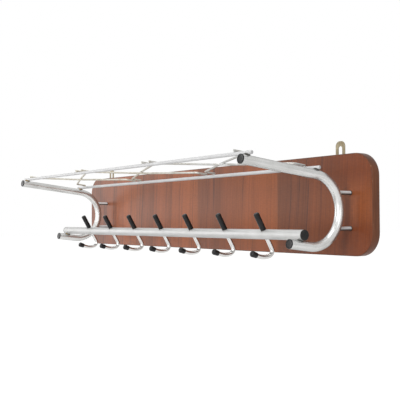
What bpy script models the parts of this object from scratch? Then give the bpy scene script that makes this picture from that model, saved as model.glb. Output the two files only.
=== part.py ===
"""Wall coat and hat rack: a veneered backboard carries two bent tube brackets, a hat shelf of crossed
wires and a rail of hooks that swivel in slanted holes.

Metres, +Z up. X runs along the board, the front faces -Y and the board's back lies on Y = 0.
"""
import math

import bmesh
import bpy
from mathutils import Matrix, Vector

MM = 0.001

# Gap kept between pieces that touch
SEAT = 0.3 * MM

# Backboard and the thin band round its edge
BOARD_LENGTH = 1290 * MM
BOARD_HEIGHT = 220 * MM
BOARD_THICKNESS = 21 * MM
BOARD_CORNER_RADIUS = 50 * MM
EDGE_BAND_THICKNESS = 1.5 * MM
EDGE_EASE = 0.9 * MM

# Bent tube brackets, tipped so that their arms rise towards the front. Their middle lies to the right
# of the board's.
TUBE_DIAMETER = 20 * MM
TUBE_WALL = 1.5 * MM
BEND_RADIUS = 75 * MM
BRACKET_TILT = math.radians(7)
BRACKET_DROP = 13 * MM
BRACKET_INSET = 89.5 * MM
RACK_SHIFT = 26 * MM
UPPER_ARM_LENGTH = 197.5 * MM
LOWER_ARM_LENGTH = 56 * MM
BOARD_TO_TUBE = 23 * MM

# Stand-off pins between bracket and board, each held by a screw from behind
STANDOFF_DIAMETER = 8.5 * MM
STANDOFF_PITCH = 76 * MM
STANDOFF_SCREW_DIAMETER = 4 * MM
STANDOFF_SCREW_HEAD = 8 * MM
STANDOFF_SCREW_HEAD_DEPTH = 2.4 * MM
STANDOFF_SCREW_REACH = 15 * MM

# Plugs in the open tube ends
PLUG_HEAD_THICKNESS = 2.6 * MM
PLUG_DISH_DEPTH = 0.7 * MM
PLUG_SHANK_LENGTH = 14 * MM
PLUG_CLEARANCE = 0.6 * MM

# Hat shelf: two rods lying on the upper arms and three crosses of wire lying on the rods.
# The rods lie a little to the left of the brackets' middle.
ROD_DIAMETER = 8 * MM
FRONT_ROD_OVERHANG = 19 * MM
REAR_ROD_OVERHANG = 14 * MM
SHELF_SHIFT = -4 * MM
FRONT_ROD_FROM_TIP = 13.5 * MM
REAR_ROD_FROM_BEND = 0.5 * MM
CROSS_COUNT = 3
CROSS_GAP = 34 * MM
WIRE_DIAMETER = 5 * MM
WIRE_TAIL = 28 * MM
WIRE_FRONT_TIP = 5 * MM
WIRE_REAR_TIP = 2 * MM
WIRE_KINK_RADIUS = 6 * MM

# Hook rail lying on the lower arms
RAIL_DIAMETER = 22 * MM
RAIL_WALL = 1.5 * MM
RAIL_OVERHANG = 9.5 * MM
RAIL_FROM_TIP = 28 * MM

# Hooks: a bent wire through a slanted hole, a long sleeve above the rail and a cap on the lower prong
HOOK_COUNT = 7
HOOK_ROW_SHIFT = 26.5 * MM
HOOK_LEAN = math.radians(30)
HOOK_WIRE_DIAMETER = 10 * MM
HOOK_HOLE_DIAMETER = 11.8 * MM
HOOK_DROP = 34.8 * MM
HOOK_BEND_RADIUS = 11.5 * MM
HOOK_BEND_TURN = math.radians(105)
PRONG_SWEEP_RADIUS = 55 * MM
PRONG_SWEEP_TURN = math.radians(33)
PRONG_STRAIGHT = 16 * MM
SLEEVE_DIAMETER = 12.8 * MM
SLEEVE_LENGTH = 41 * MM
SLEEVE_END_WALL = 3 * MM
SLEEVE_CLEARANCE = 0.4 * MM
CAP_FRONT_DIAMETER = 14 * MM
CAP_REAR_DIAMETER = 12.4 * MM
CAP_LENGTH = 16 * MM
CAP_END_WALL = 4 * MM

# Brazed joints where a rod or the rail crosses an arm
BRAZE_SPREAD = 7 * MM
BRAZE_HEIGHT = 3.5 * MM

# Slotted hanger plates let into the board's back
HANGER_INSET = 111 * MM
HANGER_WIDTH = 28 * MM
HANGER_RISE = 31.5 * MM
HANGER_LAP = 66 * MM
HANGER_THICKNESS = 2 * MM
HANGER_ROUND = 12 * MM
HANGER_SLOT_WIDTH = 12 * MM
HANGER_SLOT_LENGTH = 27 * MM
HANGER_SLOT_MARGIN = 11 * MM
HANGER_SCREW_DIAMETER = 3.5 * MM
HANGER_SCREW_HEAD = 7 * MM
HANGER_SCREW_HEAD_DEPTH = 1.5 * MM
HANGER_SCREW_LENGTH = 15 * MM
HANGER_SCREW_DROPS = (24 * MM, 52 * MM)

# Facets
CORNER_STEPS = 7
BEND_STEPS = 14
HOOK_BEND_STEPS = 8
PRONG_SWEEP_STEPS = 4
TUBE_SIDE_STEPS = 6
BORE_SIDE_STEPS = 4
HOOK_SIDE_STEPS = 2
WIRE_SIDE_STEPS = 2
ROUND_STEPS = 16
FINE_STEPS = 12
SCREW_STEPS = 8
CUT_MARGIN = 3 * MM
WELD = 0.001 * MM

# Places worked out from the sizes above
TUBE_RADIUS = TUBE_DIAMETER / 2
BEND_CENTRE_Y = -(BOARD_THICKNESS + BOARD_TO_TUBE + TUBE_RADIUS + BEND_RADIUS)
BEND_CENTRE_Z = -BRACKET_DROP
BRACKET_HALF = BOARD_LENGTH / 2 - BRACKET_INSET
BRACKET_X = {"left": RACK_SHIFT - BRACKET_HALF, "right": RACK_SHIFT + BRACKET_HALF}
SHELF_X = RACK_SHIFT + SHELF_SHIFT
FRONT_ROD_RUN = UPPER_ARM_LENGTH - FRONT_ROD_FROM_TIP
REAR_ROD_RUN = REAR_ROD_FROM_BEND
RAIL_RUN = LOWER_ARM_LENGTH - RAIL_FROM_TIP
ROD_LIFT = BEND_RADIUS + TUBE_RADIUS + SEAT + ROD_DIAMETER / 2
WIRE_LIFT = ROD_LIFT + ROD_DIAMETER / 2 + SEAT + WIRE_DIAMETER / 2
RAIL_LIFT = -(BEND_RADIUS - TUBE_RADIUS - SEAT - RAIL_DIAMETER / 2)
HOOK_PITCH = 2 * BRACKET_HALF / (HOOK_COUNT + 1)
CROSS_WIDTH = (2 * BRACKET_HALF - (CROSS_COUNT + 1) * CROSS_GAP) / CROSS_COUNT
HANGER_X = BOARD_LENGTH / 2 - HANGER_INSET


def clear_scene():
    for old in list(bpy.data.objects):
        bpy.data.objects.remove(old, do_unlink=True)


def new_collection(name):
    collection = bpy.data.collections.new(name)
    bpy.context.scene.collection.children.link(collection)
    return collection


def new_material(name, colour, roughness, metallic):
    material = bpy.data.materials.new(name)
    material.use_nodes = True
    shader = material.node_tree.nodes["Principled BSDF"]
    shader.inputs["Base Color"].default_value = (*colour, 1)
    shader.inputs["Roughness"].default_value = roughness
    shader.inputs["Metallic"].default_value = metallic
    return material


clear_scene()
PARTS = new_collection("coat_and_hat_rack")
CUTTERS = new_collection("cutters")
VENEER = new_material("veneer", (0.25, 0.09, 0.05), 0.4, 0)
EDGE = new_material("board_edge", (0.1, 0.045, 0.03), 0.5, 0)
SATIN_TUBE = new_material("satin_tube", (0.75, 0.75, 0.74), 0.28, 1)
BRIGHT_WIRE = new_material("bright_wire", (0.78, 0.78, 0.77), 0.16, 1)
BLACK_PLASTIC = new_material("black_plastic", (0.025, 0.025, 0.026), 0.42, 0)
BRAZE = new_material("braze", (0.32, 0.22, 0.09), 0.45, 1)
HANGER_STEEL = new_material("hanger_steel", (0.5, 0.4, 0.28), 0.45, 1)
SCREW_STEEL = new_material("screw_steel", (0.45, 0.45, 0.44), 0.35, 1)


def add_part(name, mesh, material, location=(0, 0, 0), rotation=(0, 0, 0), parent=None):
    """A node of the object: its mesh in its own frame, placed by location and rotation."""
    mesh.materials.append(material)
    part = bpy.data.objects.new(name, mesh)
    part.location = location
    part.rotation_euler = rotation
    part.parent = parent
    PARTS.objects.link(part)
    return part


def add_cutter(name, mesh, location=(0, 0, 0), rotation=(0, 0, 0)):
    cutter = bpy.data.objects.new(name, mesh)
    cutter.location = location
    cutter.rotation_euler = rotation
    cutter.hide_render = True
    cutter.display_type = "WIRE"
    CUTTERS.objects.link(cutter)
    return cutter


def cut(part, *cutters):
    for cutter in cutters:
        boolean = part.modifiers.new("cut by " + cutter.name, "BOOLEAN")
        boolean.operation = "DIFFERENCE"
        boolean.solver = "EXACT"
        boolean.object = cutter


def smooth(mesh, angle=35):
    mesh.shade_smooth()
    mesh.set_sharp_from_angle(angle=math.radians(angle))
    return mesh


def mesh_of_curve(curve):
    """A closed mesh of a curve object, with its end caps welded on."""
    holder = bpy.data.objects.new(curve.name, curve)
    PARTS.objects.link(holder)
    graph = bpy.context.evaluated_depsgraph_get()
    mesh = bpy.data.meshes.new_from_object(holder.evaluated_get(graph))
    bpy.data.objects.remove(holder, do_unlink=True)
    bpy.data.curves.remove(curve)
    form = bmesh.new()
    form.from_mesh(mesh)
    bmesh.ops.remove_doubles(form, verts=form.verts, dist=WELD)
    bmesh.ops.recalc_face_normals(form, faces=form.faces)
    form.to_mesh(mesh)
    form.free()
    return mesh


def wire(name, points, radius, bevel):
    """A round wire or tube along the points."""
    curve = bpy.data.curves.new(name, "CURVE")
    curve.dimensions = "3D"
    curve.bevel_depth = radius
    curve.bevel_resolution = bevel
    curve.use_fill_caps = True
    spline = curve.splines.new("POLY")
    spline.points.add(len(points) - 1)
    for knot, place in zip(spline.points, points):
        knot.co = (*place, 1)
    return smooth(mesh_of_curve(curve))


def plate(name, outlines, thickness):
    """A flat plate in its own XY plane: the first outline is its edge and any others are holes."""
    curve = bpy.data.curves.new(name, "CURVE")
    curve.dimensions = "2D"
    curve.fill_mode = "BOTH"
    curve.extrude = thickness / 2
    for outline in outlines:
        spline = curve.splines.new("POLY")
        spline.points.add(len(outline) - 1)
        spline.use_cyclic_u = True
        for knot, (x, y) in zip(spline.points, outline):
            knot.co = (x, y, 0, 1)
    return mesh_of_curve(curve)


def hoop(name, sections):
    """A closed ring skinned over loops of equal length, the last loop joined to the first."""
    form = bmesh.new()
    loops = [[form.verts.new(point) for point in section] for section in sections]
    for one, two in zip(loops, loops[1:] + loops[:1]):
        for k in range(len(one)):
            form.faces.new((one[k - 1], one[k], two[k], two[k - 1]))
    bmesh.ops.recalc_face_normals(form, faces=form.faces)
    mesh = bpy.data.meshes.new(name)
    form.to_mesh(mesh)
    form.free()
    return mesh


def turned(name, profile, steps):
    """A turned piece: the profile of (radius, height) runs from the axis down its outer side."""
    bare = bpy.data.meshes.new(name)
    links = [(i, i + 1) for i in range(len(profile) - 1)]
    bare.from_pydata([(radius, 0, height) for radius, height in profile], links, [])
    holder = bpy.data.objects.new(name, bare)
    PARTS.objects.link(holder)
    screw = holder.modifiers.new("turn", "SCREW")
    screw.steps = steps
    screw.render_steps = steps
    screw.use_merge_vertices = True
    screw.merge_threshold = WELD
    graph = bpy.context.evaluated_depsgraph_get()
    mesh = bpy.data.meshes.new_from_object(holder.evaluated_get(graph))
    bpy.data.objects.remove(holder, do_unlink=True)
    return smooth(mesh)


def box(name, low, high):
    form = bmesh.new()
    size = Vector(high) - Vector(low)
    centre = (Vector(high) + Vector(low)) / 2
    bmesh.ops.create_cube(form, size=1, matrix=Matrix.LocRotScale(centre, None, size))
    mesh = bpy.data.meshes.new(name)
    form.to_mesh(mesh)
    form.free()
    return mesh


def rounded_outline(length, height, radius):
    """A rectangle with round corners, counter-clockwise about the origin."""
    points = []
    for side_x, side_y, first in ((1, 1, 0), (-1, 1, 90), (-1, -1, 180), (1, -1, 270)):
        for step in range(CORNER_STEPS + 1):
            angle = math.radians(first + 90 * step / CORNER_STEPS)
            x = side_x * (length / 2 - radius) + radius * math.cos(angle)
            y = side_y * (height / 2 - radius) + radius * math.sin(angle)
            points.append((x, y))
    return points


def bent_path(start, heading, runs):
    """Points of a wire bent in one plane. A run is a straight length, or a radius with a turn to the
    right and its number of steps. The last point's heading comes back too."""
    place = Vector(start)
    points = [place.copy()]
    for run in runs:
        if isinstance(run, float):
            place = place + run * Vector((math.cos(heading), math.sin(heading)))
            points.append(place.copy())
            continue
        radius, turn, steps = run
        centre = place + radius * Vector((math.sin(heading), -math.cos(heading)))
        for _ in range(steps):
            heading -= turn / steps
            place = centre - radius * Vector((math.sin(heading), -math.cos(heading)))
            points.append(place.copy())
    return points, heading


def on_bracket(run, lift):
    """World Y and Z of a point of the tipped bracket plane: run forwards of the bend's centre along the
    arms, and lift square to them."""
    y = BEND_CENTRE_Y - run * math.cos(BRACKET_TILT) + lift * math.sin(BRACKET_TILT)
    z = BEND_CENTRE_Z + run * math.sin(BRACKET_TILT) + lift * math.cos(BRACKET_TILT)
    return y, z


def countersunk(name, diameter, head, head_depth, length, grow=0.0):
    """A countersunk screw along its own Z with its head's face at zero. The same form, grown by a
    clearance, makes its hole."""
    radius = diameter / 2 + grow
    head_radius = head / 2 + grow
    top = CUT_MARGIN if grow else 0.0
    profile = [(0, top), (head_radius, top)]
    if grow:
        profile.append((head_radius, 0))
    profile += [(radius, -head_depth), (radius, -length - grow), (0, -length - grow)]
    return turned(name, profile, SCREW_STEPS)


def build_board():
    """The veneered core, the band round its edge, the pockets of the hanger plates and the screw holes."""
    flat = (math.radians(90), 0, 0)
    middle = (0, -BOARD_THICKNESS / 2, 0)
    inner = EDGE_BAND_THICKNESS + SEAT

    def outline(inset):
        length = BOARD_LENGTH - 2 * inset
        return rounded_outline(length, BOARD_HEIGHT - 2 * inset, BOARD_CORNER_RADIUS - inset)

    core = plate("backboard", [outline(inner)], BOARD_THICKNESS)
    board = add_part("backboard", core, VENEER, middle, flat)

    half = BOARD_THICKNESS / 2
    rim = half - EDGE_EASE
    nearly = half - 0.3 * EDGE_EASE
    sections = [(EDGE_EASE, half), (0.3 * EDGE_EASE, nearly), (0, rim), (0, -rim), (0.3 * EDGE_EASE, -nearly),
                (EDGE_EASE, -half), (EDGE_BAND_THICKNESS, -half), (EDGE_BAND_THICKNESS, half)]
    loops = [[(x, y, height) for x, y in outline(inset)] for inset, height in sections]
    ring = hoop("edge_band", loops)
    band = add_part("edge_band", ring, EDGE, middle, flat)

    for side, x in (("left", -HANGER_X), ("right", HANGER_X)):
        half = HANGER_WIDTH / 2 + SEAT
        low = (x - half, -HANGER_THICKNESS - SEAT, BOARD_HEIGHT / 2 - HANGER_LAP - SEAT)
        high = (x + half, CUT_MARGIN, BOARD_HEIGHT / 2 + CUT_MARGIN)
        pocket = add_cutter("pocket_" + side, box("pocket_" + side, low, high))
        cut(board, pocket)
        cut(band, pocket)
    return board


def build_hangers(board):
    """Slotted plates that stand above the board's top edge, each held by two screws."""
    top = HANGER_RISE
    low = -HANGER_LAP
    half = HANGER_WIDTH / 2
    edge = [(-half, low), (half, low)]
    for side_x, first in ((1, 0), (-1, 90)):
        for step in range(CORNER_STEPS + 1):
            angle = math.radians(first + 90 * step / CORNER_STEPS)
            x = side_x * (half - HANGER_ROUND) + HANGER_ROUND * math.cos(angle)
            edge.append((x, top - HANGER_ROUND + HANGER_ROUND * math.sin(angle)))
    slot_radius = HANGER_SLOT_WIDTH / 2
    slot_top = top - HANGER_SLOT_MARGIN - slot_radius
    slot_low = slot_top - (HANGER_SLOT_LENGTH - HANGER_SLOT_WIDTH)
    slot = []
    for centre, first in ((slot_top, 0), (slot_low, 180)):
        for step in range(CORNER_STEPS + 1):
            angle = math.radians(first + 180 * step / CORNER_STEPS)
            slot.append((slot_radius * math.cos(angle), centre + slot_radius * math.sin(angle)))
    turn_to_wall = (math.radians(-90), 0, 0)
    for side, x in (("left", -HANGER_X), ("right", HANGER_X)):
        name = "hanger_plate_" + side
        place = (x, -HANGER_THICKNESS / 2, BOARD_HEIGHT / 2)
        hanger = add_part(name, plate(name, [edge, slot], HANGER_THICKNESS), HANGER_STEEL, place,
                          (math.radians(90), 0, 0))
        for number, drop in enumerate(HANGER_SCREW_DROPS, 1):
            screw_name = f"hanger_screw_{side}_{number}"
            spot = (x, -SEAT, BOARD_HEIGHT / 2 - drop)
            sizes = (HANGER_SCREW_DIAMETER, HANGER_SCREW_HEAD, HANGER_SCREW_HEAD_DEPTH, HANGER_SCREW_LENGTH)
            add_part(screw_name, countersunk(screw_name, *sizes), SCREW_STEEL, spot, turn_to_wall)
            hole_name = screw_name + "_hole"
            hole = add_cutter(hole_name, countersunk(hole_name, *sizes, grow=SEAT), spot, turn_to_wall)
            cut(hanger, hole)
            cut(board, hole)


def bracket_points(lead=0.0):
    """The bracket's centre line in its own YZ plane about the bend's centre, with its ends led on."""
    start = (-UPPER_ARM_LENGTH - lead, BEND_RADIUS)
    runs = [UPPER_ARM_LENGTH + lead, (BEND_RADIUS, math.pi, BEND_STEPS), LOWER_ARM_LENGTH + lead]
    flat, _ = bent_path(start, 0.0, runs)
    return [(0, y, z) for y, z in flat]


def build_bracket(side, board):
    """A bent tube on two stand-off pins, with a plug in each open end."""
    x = BRACKET_X[side]
    place = (x, BEND_CENTRE_Y, BEND_CENTRE_Z)
    tip = (-BRACKET_TILT, 0, 0)
    name = "bracket_tube_" + side
    tube = add_part(name, wire(name, bracket_points(), TUBE_RADIUS, TUBE_SIDE_STEPS), SATIN_TUBE, place, tip)
    bore_radius = TUBE_RADIUS - TUBE_WALL
    bore = wire(name + "_bore", bracket_points(CUT_MARGIN), bore_radius, BORE_SIDE_STEPS)
    cut(tube, add_cutter(name + "_bore", bore, place, tip))
    clear = wire(name + "_clear", bracket_points(), TUBE_RADIUS + SEAT, TUBE_SIDE_STEPS)
    clearance = add_cutter(name + "_clear", clear, place, tip)

    arms = (("upper", UPPER_ARM_LENGTH, BEND_RADIUS), ("lower", LOWER_ARM_LENGTH, -BEND_RADIUS))
    for level, length, lift in arms:
        y, z = on_bracket(length + SEAT, lift)
        add_plug(f"tube_plug_{level}_{side}", TUBE_RADIUS, bore_radius, (x, y, z),
                 (math.radians(90) - BRACKET_TILT, 0, 0))

    for level, sign in (("upper", 1), ("lower", -1)):
        build_standoff(f"{level}_{side}", x, BEND_CENTRE_Z + sign * STANDOFF_PITCH / 2, clearance, board)
    return clearance


def build_standoff(where, x, z, bracket_clearance, board):
    """A pin coped to the bracket's bend, and the screw that holds it from behind the board."""
    height = z - BEND_CENTRE_Z
    axis_y = BEND_CENTRE_Y + math.sqrt(BEND_RADIUS ** 2 - height ** 2)
    back_y = -BOARD_THICKNESS - SEAT
    length = back_y - axis_y
    turn_to_wall = (math.radians(-90), 0, 0)
    radius = STANDOFF_DIAMETER / 2
    pin_name = "standoff_" + where
    profile = [(0, 0), (radius, 0), (radius, -length), (0, -length)]
    pin = add_part(pin_name, turned(pin_name, profile, FINE_STEPS), BRIGHT_WIRE, (x, back_y, z), turn_to_wall)
    screw_name = "standoff_screw_" + where
    spot = (x, -SEAT, z)
    sizes = (STANDOFF_SCREW_DIAMETER, STANDOFF_SCREW_HEAD, STANDOFF_SCREW_HEAD_DEPTH,
             BOARD_THICKNESS + STANDOFF_SCREW_REACH)
    add_part(screw_name, countersunk(screw_name, *sizes), SCREW_STEEL, spot, turn_to_wall)
    hole_name = screw_name + "_hole"
    hole = add_cutter(hole_name, countersunk(hole_name, *sizes, grow=SEAT), spot, turn_to_wall)
    cut(pin, bracket_clearance, hole)
    cut(board, hole)


def add_plug(name, tube_radius, bore_radius, place, turn):
    """A plastic plug whose dished head covers a tube's end; its own Z points out of the tube."""
    shank = bore_radius - PLUG_CLEARANCE
    thick = PLUG_HEAD_THICKNESS
    dish = thick - PLUG_DISH_DEPTH
    profile = [(0, dish), (0.72 * tube_radius, dish), (0.84 * tube_radius, thick),
               (0.94 * tube_radius, 0.9 * thick), (tube_radius, 0.6 * thick), (tube_radius, 0),
               (shank, 0), (shank, -PLUG_SHANK_LENGTH), (0, -PLUG_SHANK_LENGTH)]
    return add_part(name, turned(name, profile, ROUND_STEPS), BLACK_PLASTIC, place, turn)


def build_rail():
    """The hollow rail with its pairs of slanted hook holes and its end plugs."""
    y, z = on_bracket(RAIL_RUN, RAIL_LIFT)
    half = BRACKET_HALF + RAIL_OVERHANG
    radius = RAIL_DIAMETER / 2
    ends = [(RACK_SHIFT - half, y, z), (RACK_SHIFT + half, y, z)]
    rail = add_part("hook_rail", wire("hook_rail", ends, radius, TUBE_SIDE_STEPS), SATIN_TUBE)
    bore_ends = [(ends[0][0] - CUT_MARGIN, y, z), (ends[1][0] + CUT_MARGIN, y, z)]
    bore_radius = radius - RAIL_WALL
    cut(rail, add_cutter("rail_bore", wire("rail_bore", bore_ends, bore_radius, BORE_SIDE_STEPS)))

    drill_radius = HOOK_HOLE_DIAMETER / 2
    drills = bmesh.new()
    for x in hook_places():
        aim = Matrix.LocRotScale((x, y, z), Matrix.Rotation(HOOK_LEAN, 3, "X").to_quaternion(), None)
        bmesh.ops.create_cone(drills, cap_ends=True, segments=ROUND_STEPS, radius1=drill_radius,
                              radius2=drill_radius, depth=RAIL_DIAMETER + 2 * CUT_MARGIN, matrix=aim)
    mesh = bpy.data.meshes.new("hook_drills")
    drills.to_mesh(mesh)
    drills.free()
    cut(rail, add_cutter("hook_drills", mesh))

    for side, end, turn in (("left", ends[0][0] - SEAT, -90), ("right", ends[1][0] + SEAT, 90)):
        add_plug("rail_plug_" + side, radius, bore_radius, (end, y, z), (0, math.radians(turn), 0))


def hook_places():
    first = RACK_SHIFT + HOOK_ROW_SHIFT - HOOK_PITCH * (HOOK_COUNT - 1) / 2
    return [first + HOOK_PITCH * number for number in range(HOOK_COUNT)]


def build_hook(number, x):
    """One hook about its slanted swivel axis, which is the Z of its empty."""
    y, z = on_bracket(RAIL_RUN, RAIL_LIFT)
    pivot = bpy.data.objects.new(f"hook_axis_{number}", None)
    pivot.location = (x, y, z)
    pivot.rotation_euler = (HOOK_LEAN, 0, 0)
    PARTS.objects.link(pivot)

    wire_radius = HOOK_WIRE_DIAMETER / 2
    bore_radius = wire_radius + SLEEVE_CLEARANCE
    base = RAIL_DIAMETER / 2 + SEAT
    top = base + SLEEVE_LENGTH
    bore_top = top - SLEEVE_END_WALL
    sleeve_radius = SLEEVE_DIAMETER / 2
    rounding = 0.5 * sleeve_radius
    profile = [(0, top), (sleeve_radius - rounding, top),
               (sleeve_radius - 0.3 * rounding, top - 0.3 * rounding),
               (sleeve_radius, top - rounding), (sleeve_radius, base), (bore_radius, base),
               (bore_radius, bore_top), (0, bore_top)]
    name = f"hook_sleeve_{number}"
    add_part(name, turned(name, profile, FINE_STEPS), BLACK_PLASTIC, parent=pivot)

    wire_top = bore_top - SEAT
    runs = [wire_top + HOOK_DROP, (HOOK_BEND_RADIUS, HOOK_BEND_TURN, HOOK_BEND_STEPS),
            (PRONG_SWEEP_RADIUS, PRONG_SWEEP_TURN, PRONG_SWEEP_STEPS), PRONG_STRAIGHT]
    flat, heading = bent_path((0, wire_top), math.radians(-90), runs)
    name = f"hook_{number}"
    points = [(0, side, height) for side, height in flat]
    add_part(name, wire(name, points, wire_radius, HOOK_SIDE_STEPS), BRIGHT_WIRE, parent=pivot)

    front = CAP_END_WALL + SEAT
    rear = front - CAP_LENGTH
    big = CAP_FRONT_DIAMETER / 2
    small = CAP_REAR_DIAMETER / 2
    profile = [(0, front), (0.6 * big, front - 0.04 * CAP_LENGTH), (0.92 * big, front - 0.14 * CAP_LENGTH),
               (big, front - 0.3 * CAP_LENGTH), (small, rear),
               (bore_radius, rear), (bore_radius, SEAT), (0, SEAT)]
    name = f"hook_cap_{number}"
    tip = (0, flat[-1].x, flat[-1].y)
    aim = (heading - math.radians(90), 0, 0)
    add_part(name, turned(name, profile, FINE_STEPS), BLACK_PLASTIC, tip, aim, pivot)


def build_rods():
    """The two shelf rods, with rounded ends."""
    radius = ROD_DIAMETER / 2
    along_x = (0, math.radians(90), 0)
    for name, run, overhang in (("shelf_rod_front", FRONT_ROD_RUN, FRONT_ROD_OVERHANG),
                                ("shelf_rod_rear", REAR_ROD_RUN, REAR_ROD_OVERHANG)):
        half = BRACKET_HALF + overhang
        cap = [(radius * math.sin(angle), half - radius * (1 - math.cos(angle)))
               for angle in (math.radians(30 * step) for step in range(4))]
        profile = cap + [(r, -height) for r, height in reversed(cap)]
        y, z = on_bracket(run, ROD_LIFT)
        add_part(name, turned(name, profile, FINE_STEPS), BRIGHT_WIRE, (SHELF_X, y, z), along_x)


def wire_points(x_front, x_rear, bow):
    """A shelf wire: straight tails across both rods, a kink behind each, and a bowed diagonal."""
    front_kink = FRONT_ROD_RUN - WIRE_TAIL
    rear_kink = REAR_ROD_RUN + WIRE_TAIL
    tips = (FRONT_ROD_RUN + WIRE_FRONT_TIP, REAR_ROD_RUN - WIRE_REAR_TIP)
    middle = Vector(((x_front + x_rear) / 2, (front_kink + rear_kink) / 2, bow))
    route = [Vector((x_front, tips[0], 0)), Vector((x_front, front_kink, 0)), middle,
             Vector((x_rear, rear_kink, 0)), Vector((x_rear, tips[1], 0))]
    eased = [route[0]]
    for before, corner, after in zip(route, route[1:], route[2:]):
        towards_before = (before - corner).normalized() * WIRE_KINK_RADIUS
        towards_after = (after - corner).normalized() * WIRE_KINK_RADIUS
        if corner is middle:
            eased.append(corner)
            continue
        eased.append(corner + towards_before)
        eased.append(corner + 0.25 * (towards_before + towards_after))
        eased.append(corner + towards_after)
    eased.append(route[-1])
    return [(x, *on_bracket(run, WIRE_LIFT + lift)) for x, run, lift in eased]


def build_shelf_wires():
    """Crosses of two wires: one dips under the other where they meet."""
    bow = (WIRE_DIAMETER + SEAT) / 2
    left_end = SHELF_X - BRACKET_HALF + CROSS_GAP
    for number in range(CROSS_COUNT):
        left = left_end + number * (CROSS_WIDTH + CROSS_GAP)
        right = left + CROSS_WIDTH
        for kind, front, rear, lift in (("under", left, right, -bow), ("over", right, left, bow)):
            name = f"shelf_wire_{kind}_{number + 1}"
            points = wire_points(front, rear, lift)
            add_part(name, wire(name, points, WIRE_DIAMETER / 2, WIRE_SIDE_STEPS), BRIGHT_WIRE)


def build_brazes(clearances):
    """Collars of braze round the spots where the rods and the rail lie on the arms."""
    joints = (("front_rod", FRONT_ROD_RUN, ROD_LIFT, ROD_DIAMETER / 2, BEND_RADIUS + TUBE_RADIUS),
              ("rear_rod", REAR_ROD_RUN, ROD_LIFT, ROD_DIAMETER / 2, BEND_RADIUS + TUBE_RADIUS),
              ("rail", RAIL_RUN, RAIL_LIFT, RAIL_DIAMETER / 2, -BEND_RADIUS + TUBE_RADIUS))
    for piece, run, lift, radius, contact in joints:
        y, z = on_bracket(run, lift)
        for side, x in BRACKET_X.items():
            reach = 2 * BRAZE_SPREAD
            bar_name = f"{piece}_clear_{side}"
            line = wire(bar_name, [(x - reach, y, z), (x + reach, y, z)], radius + SEAT, TUBE_SIDE_STEPS)
            bar = add_cutter(bar_name, line)
            name = f"braze_{piece}_{side}"
            form = bmesh.new()
            squash = Matrix.Diagonal((BRAZE_SPREAD, BRAZE_SPREAD, BRAZE_HEIGHT, 1))
            bmesh.ops.create_uvsphere(form, u_segments=FINE_STEPS, v_segments=8, radius=1, matrix=squash)
            mesh = bpy.data.meshes.new(name)
            form.to_mesh(mesh)
            form.free()
            spot = (x, *on_bracket(run, contact + SEAT / 2))
            collar = add_part(name, smooth(mesh), BRAZE, spot, (-BRACKET_TILT, 0, 0))
            cut(collar, clearances[side], bar)


def build():
    board = build_board()
    build_hangers(board)
    clearances = {side: build_bracket(side, board) for side in BRACKET_X}
    build_rods()
    build_shelf_wires()
    build_rail()
    for number, x in enumerate(hook_places(), 1):
        build_hook(number, x)
    build_brazes(clearances)
    print("rack built:", len([part for part in PARTS.objects if part.type == "MESH"]), "pieces")


build()
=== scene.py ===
# %% [markdown]
# A wall rack for coats and hats. A veneered board carries two bent tubes on pins. Their upper arms hold
# a shelf of two rods and crossed wires for hats, and their lower arms hold a rail with seven hooks that
# swivel.
#
# The solids of the rack are already packed as a frame, and this lesson dresses them. Every new piece is
# built in metres in the frame's own place, rides on one of its bodies, and stands for the plain solid
# that it covers.

# %% Load the frame
import math

import bmesh
import bpy
from mathutils import Matrix, Vector, noise


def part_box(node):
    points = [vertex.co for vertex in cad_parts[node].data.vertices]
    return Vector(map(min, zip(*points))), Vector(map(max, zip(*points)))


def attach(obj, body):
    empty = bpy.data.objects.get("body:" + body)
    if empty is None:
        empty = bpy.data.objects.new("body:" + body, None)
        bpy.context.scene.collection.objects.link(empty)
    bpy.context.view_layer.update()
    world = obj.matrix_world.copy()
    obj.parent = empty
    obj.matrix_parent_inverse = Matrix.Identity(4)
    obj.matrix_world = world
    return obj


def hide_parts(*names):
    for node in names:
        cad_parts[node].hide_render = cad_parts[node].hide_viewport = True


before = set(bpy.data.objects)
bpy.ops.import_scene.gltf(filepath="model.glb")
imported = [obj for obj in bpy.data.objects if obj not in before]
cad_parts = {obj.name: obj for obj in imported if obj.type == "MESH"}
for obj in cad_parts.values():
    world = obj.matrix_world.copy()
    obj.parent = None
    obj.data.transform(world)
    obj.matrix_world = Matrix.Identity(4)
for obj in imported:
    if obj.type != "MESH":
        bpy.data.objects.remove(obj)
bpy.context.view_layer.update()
MM = 0.001
MICRON = 0.000001

# %% [markdown]
# Shader trees are built from many small nodes. Setting each one up by hand takes four or five lines, so
# a few helpers do it in one. The first adds a node, sets its options and fills its inputs with values or
# with other nodes' sockets. The others hand back the socket that comes out. Those in this cell work on
# numbers.


# %% Helpers for values
def add_node(tree, kind, feeds=None, **options):
    """Adds a shader node, sets its options and fills its inputs with values or other sockets."""
    node = tree.nodes.new("ShaderNode" + kind)
    for option, value in options.items():
        setattr(node, option, value)
    for name, value in (feeds or {}).items():
        if isinstance(value, bpy.types.NodeSocket):
            tree.links.new(value, node.inputs[name])
        else:
            node.inputs[name].default_value = value
    return node


def calc(tree, operation, *values, clamp=False):
    """One sum on values, such as ADD or MULTIPLY."""
    feeds = dict(enumerate(values))
    return add_node(tree, "Math", feeds, operation=operation, use_clamp=clamp).outputs[0]


def step_between(tree, value, low, high):
    """A soft step from 0 at low to 1 at high."""
    feeds = {"Value": value, "From Min": low, "From Max": high}
    return add_node(tree, "MapRange", feeds, interpolation_type="SMOOTHSTEP").outputs["Result"]


def spread(tree, value, low, high):
    """Stretches a value of 0 to 1 over the range from low to high."""
    feeds = {"Value": value, "To Min": low, "To Max": high}
    return add_node(tree, "MapRange", feeds).outputs["Result"]


print("value helpers ready")

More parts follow.
